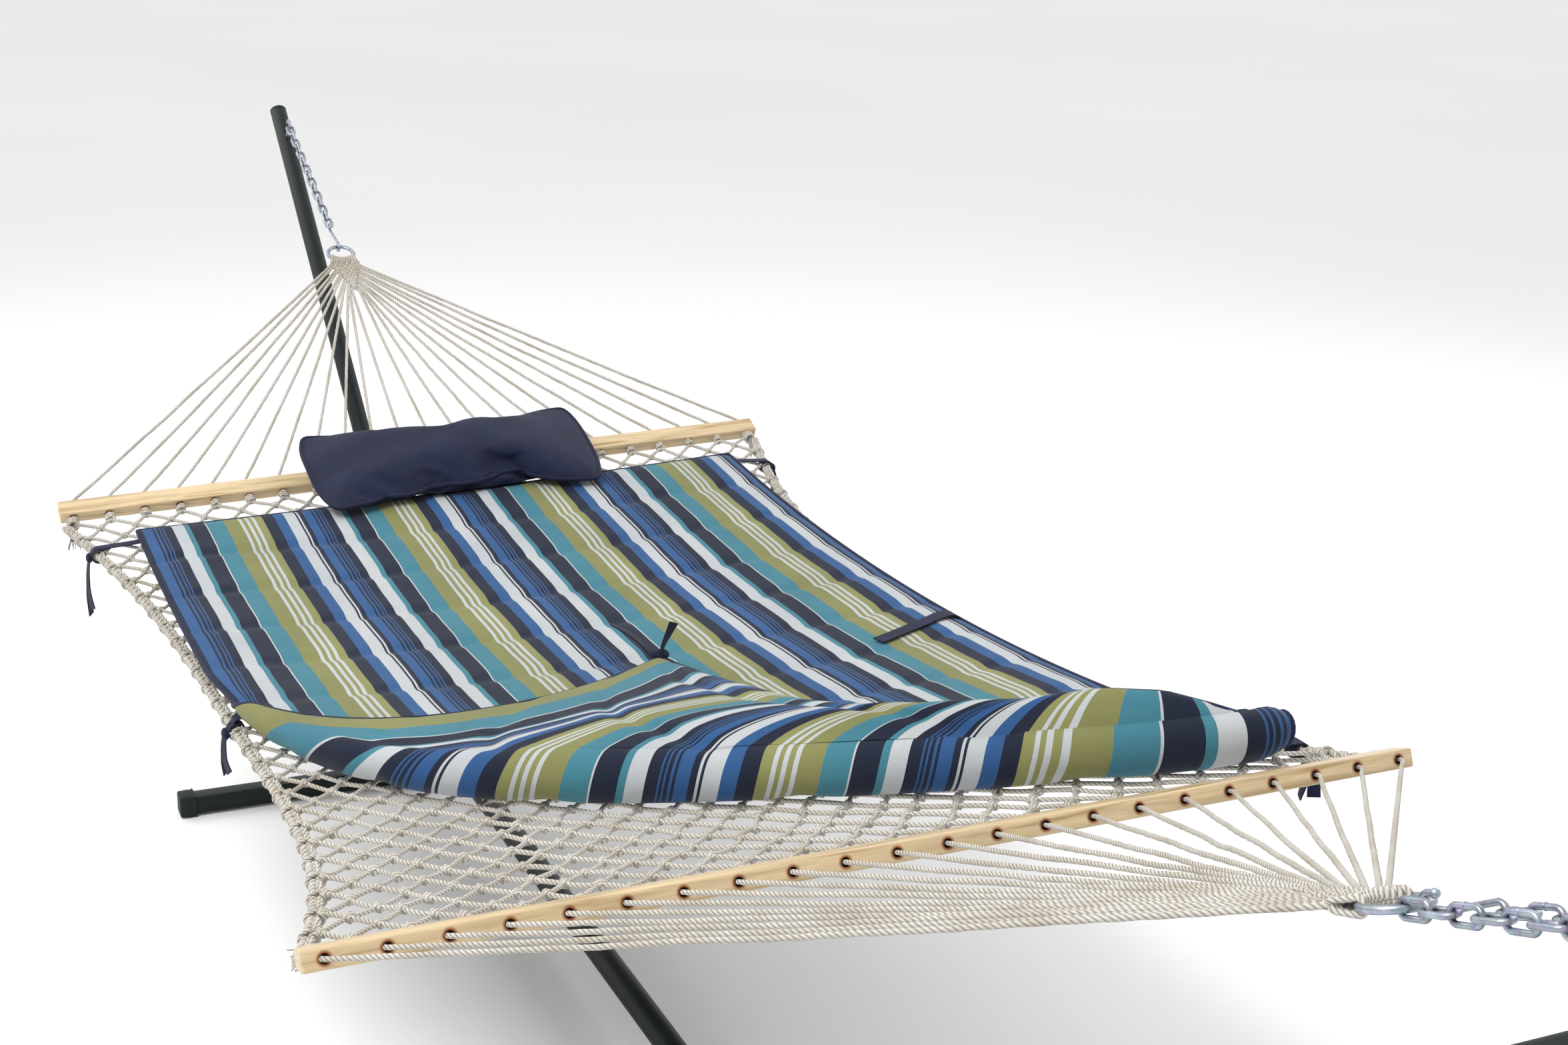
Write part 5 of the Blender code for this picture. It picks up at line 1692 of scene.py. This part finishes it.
# ---------------------------------------------------------------- ties
def strap(name, path, width_axis, width=0.024, thick=0.0018, twist=0.0):
    """A flat tape along a smooth path, its width along one axis."""
    line = resample(path, 0.004)
    points, faces = [], []
    count = len(line)
    across = Vector(width_axis)
    for i, spot in enumerate(line):
        ahead = (line[min(i + 1, count - 1)] - line[max(i - 1, 0)]).normalized()
        across = (Vector(width_axis) - Vector(width_axis).dot(ahead) * ahead).normalized()
        turn = twist * i / (count - 1)
        normal = ahead.cross(across)
        wide = math.cos(turn) * across + math.sin(turn) * normal
        normal = ahead.cross(wide)
        for u, v in ((-0.5, -0.5), (-0.17, -0.56), (0.17, -0.56), (0.5, -0.5), (0.5, 0.5), (0.17, 0.56),
                     (-0.17, 0.56), (-0.5, 0.5)):
            points.append(spot + u * width * wide + v * thick * normal)
    for i in range(count - 1):
        for k in range(8):
            m = (k + 1) % 8
            faces.append((i * 8 + k, i * 8 + m, i * 8 + 8 + m, i * 8 + 8 + k))
    faces.append(tuple(range(8))[::-1])
    faces.append(tuple((count - 1) * 8 + k for k in range(8)))
    return new_mesh(name, points, faces)


class HAMMOCK_OT_ties(bpy.types.Operator):
    """Tie the pad to the edge ropes with navy tapes"""

    bl_idname = "hammock.ties"
    bl_label = "Ties"

    def execute(self, context):
        self.knotted("tie_head_left", PAD_HEAD_X + 0.02, -1, 0.108, 0.006)
        self.knotted("tie_head_right", PAD_HEAD_X + 0.02, 1, 0.108, -0.004)
        self.knotted("tie_mid_left", TIE_START - 0.02, -1, 0.060, 0.010)
        self.knotted("tie_foot_right", TIE_END - 0.08, 1, 0.070, 0.005)
        self.lying()
        self.upright()
        return {"FINISHED"}

    def knotted(self, node, x, side, drop, lean):
        """A tape round the edge rope from the pad's corner, knotted, its two tails hanging outside."""
        centre = edge_line(side, x)
        wrap = 0.0125
        ring = []
        for i in range(21):
            turn = 2 * math.pi * i / 20
            ring.append(centre + Vector((0.002 * i / 20, side * wrap * math.cos(turn),
                                         -wrap * math.sin(turn))))
        parts = [strap("wrap", ring, X_AXIS, 0.020)]
        lead_y = side * (min(PAD_HALF, abs(centre.y)) - 0.004)
        lead = [Vector((x, lead_y - side * 0.012, seat_z(x, lead_y) + 0.012)),
                Vector((x, lead_y + side * 0.006, centre.z + 0.018)),
                centre + Vector((0, side * 0.004, wrap))]
        parts.append(strap("lead", lead, X_AXIS, 0.021))
        knot = centre + Vector((0, side * (wrap + 0.003), -0.004))
        parts.append(ball(knot, (0.011, 0.006, 0.009)))
        for k, (shift, length_share) in enumerate(((-0.008, 1.0), (0.009, 0.82))):
            fall = drop * length_share
            tail = [knot, knot + Vector((shift * 0.6, side * 0.004, -0.25 * fall)),
                    knot + Vector((shift + lean, side * 0.006, -0.62 * fall)),
                    knot + Vector((shift * 1.7 + lean * 1.6, side * 0.002, -fall))]
            parts.append(strap("tail", tail, X_AXIS, 0.020, twist=0.5 - 0.8 * k))
        finish_piece(join(parts), "tape_" + node[4:], "webbing", "hammock", node, angle=60)

    def lying(self):
        """The loose tape that lies over the pad's right edge."""
        half = sizes().pad_thickness
        path = [Vector((0.172, PAD_HALF + 0.004, seat_z(0.172, PAD_HALF) + 0.012))]
        for i in range(7):
            x, y = TIE_START + 0.060 + 0.009 * i, PAD_HALF - 0.014 - 0.027 * i
            path.append(Vector((x, y, seat_z(x, y) + half + 0.0045 - (0.006 if i == 0 else 0.0))))
        tape = strap("tape", path, X_AXIS, 0.024)
        finish_piece(tape, "tape_mid_right", "webbing", "hammock", "tie_mid_right", angle=60)

    def upright(self):
        """Two stiff tape ends that stand up from the folded corner."""
        corner = pad_column(0.0)[-1]
        parts = []
        sideways = Vector((0.42, 0.91, 0))
        for sign, spread, rise, turn in ((-1, 0.062, 0.050, 0.5), (1, 0.034, 0.056, -0.6)):
            path = [corner + Vector((0.004, 0, -0.006)),
                    corner + 0.25 * sign * spread * sideways + Vector((-0.004, -0.004, 0.30 * rise)),
                    corner + 0.62 * sign * spread * sideways + Vector((-0.008, -0.006, 0.72 * rise)),
                    corner + sign * spread * sideways + Vector((-0.014, -0.010, rise))]
            parts.append(strap("end", path, (1, -0.4, 0.3 * sign), 0.023, twist=turn))
        parts.append(ball(corner + Vector((0, 0, 0.006)), (0.012, 0.014, 0.009)))
        finish_piece(join(parts), "tape_foot_left", "webbing", "hammock", "tie_foot_left", angle=60)


# ---------------------------------------------------------------- add-on
OPERATORS = (HAMMOCK_OT_stage, HAMMOCK_OT_tubes, HAMMOCK_OT_feet, HAMMOCK_OT_bolts, HAMMOCK_OT_hooks,
             HAMMOCK_OT_chains, HAMMOCK_OT_rings, HAMMOCK_OT_bars, HAMMOCK_OT_clews, HAMMOCK_OT_net,
             HAMMOCK_OT_pad, HAMMOCK_OT_pillow, HAMMOCK_OT_ties)


class HAMMOCK_PT_panel(bpy.types.Panel):
    """Sizes, colours and a button for each group of pieces"""

    bl_idname = "HAMMOCK_PT_panel"
    bl_label = "Hammock on Stand"
    bl_space_type = "VIEW_3D"
    bl_region_type = "UI"
    bl_category = "Hammock"

    def draw(self, context):
        layout = self.layout
        for title, group in (("Sizes", sizes()), ("Colours", colours())):
            box = layout.box()
            box.label(text=title)
            for key in group.bl_rna.properties.keys():
                if key not in ("rna_type", "name"):
                    box.prop(group, key)
        column = layout.column(align=True)
        for operator in OPERATORS:
            column.operator(operator.bl_idname)


CLASSES = (HammockSizes, HammockColours, *OPERATORS, HAMMOCK_PT_panel)


def register():
    for cls in CLASSES:
        bpy.utils.register_class(cls)
    bpy.types.Scene.hammock_sizes = PointerProperty(type=HammockSizes)
    bpy.types.Scene.hammock_colours = PointerProperty(type=HammockColours)


def unregister():
    del bpy.types.Scene.hammock_colours
    del bpy.types.Scene.hammock_sizes
    for cls in reversed(CLASSES):
        bpy.utils.unregister_class(cls)


def main():
    register()
    for operator in OPERATORS:
        group, name = operator.bl_idname.split(".")
        getattr(getattr(bpy.ops, group), name)()


if __name__ == "__main__":
    main()
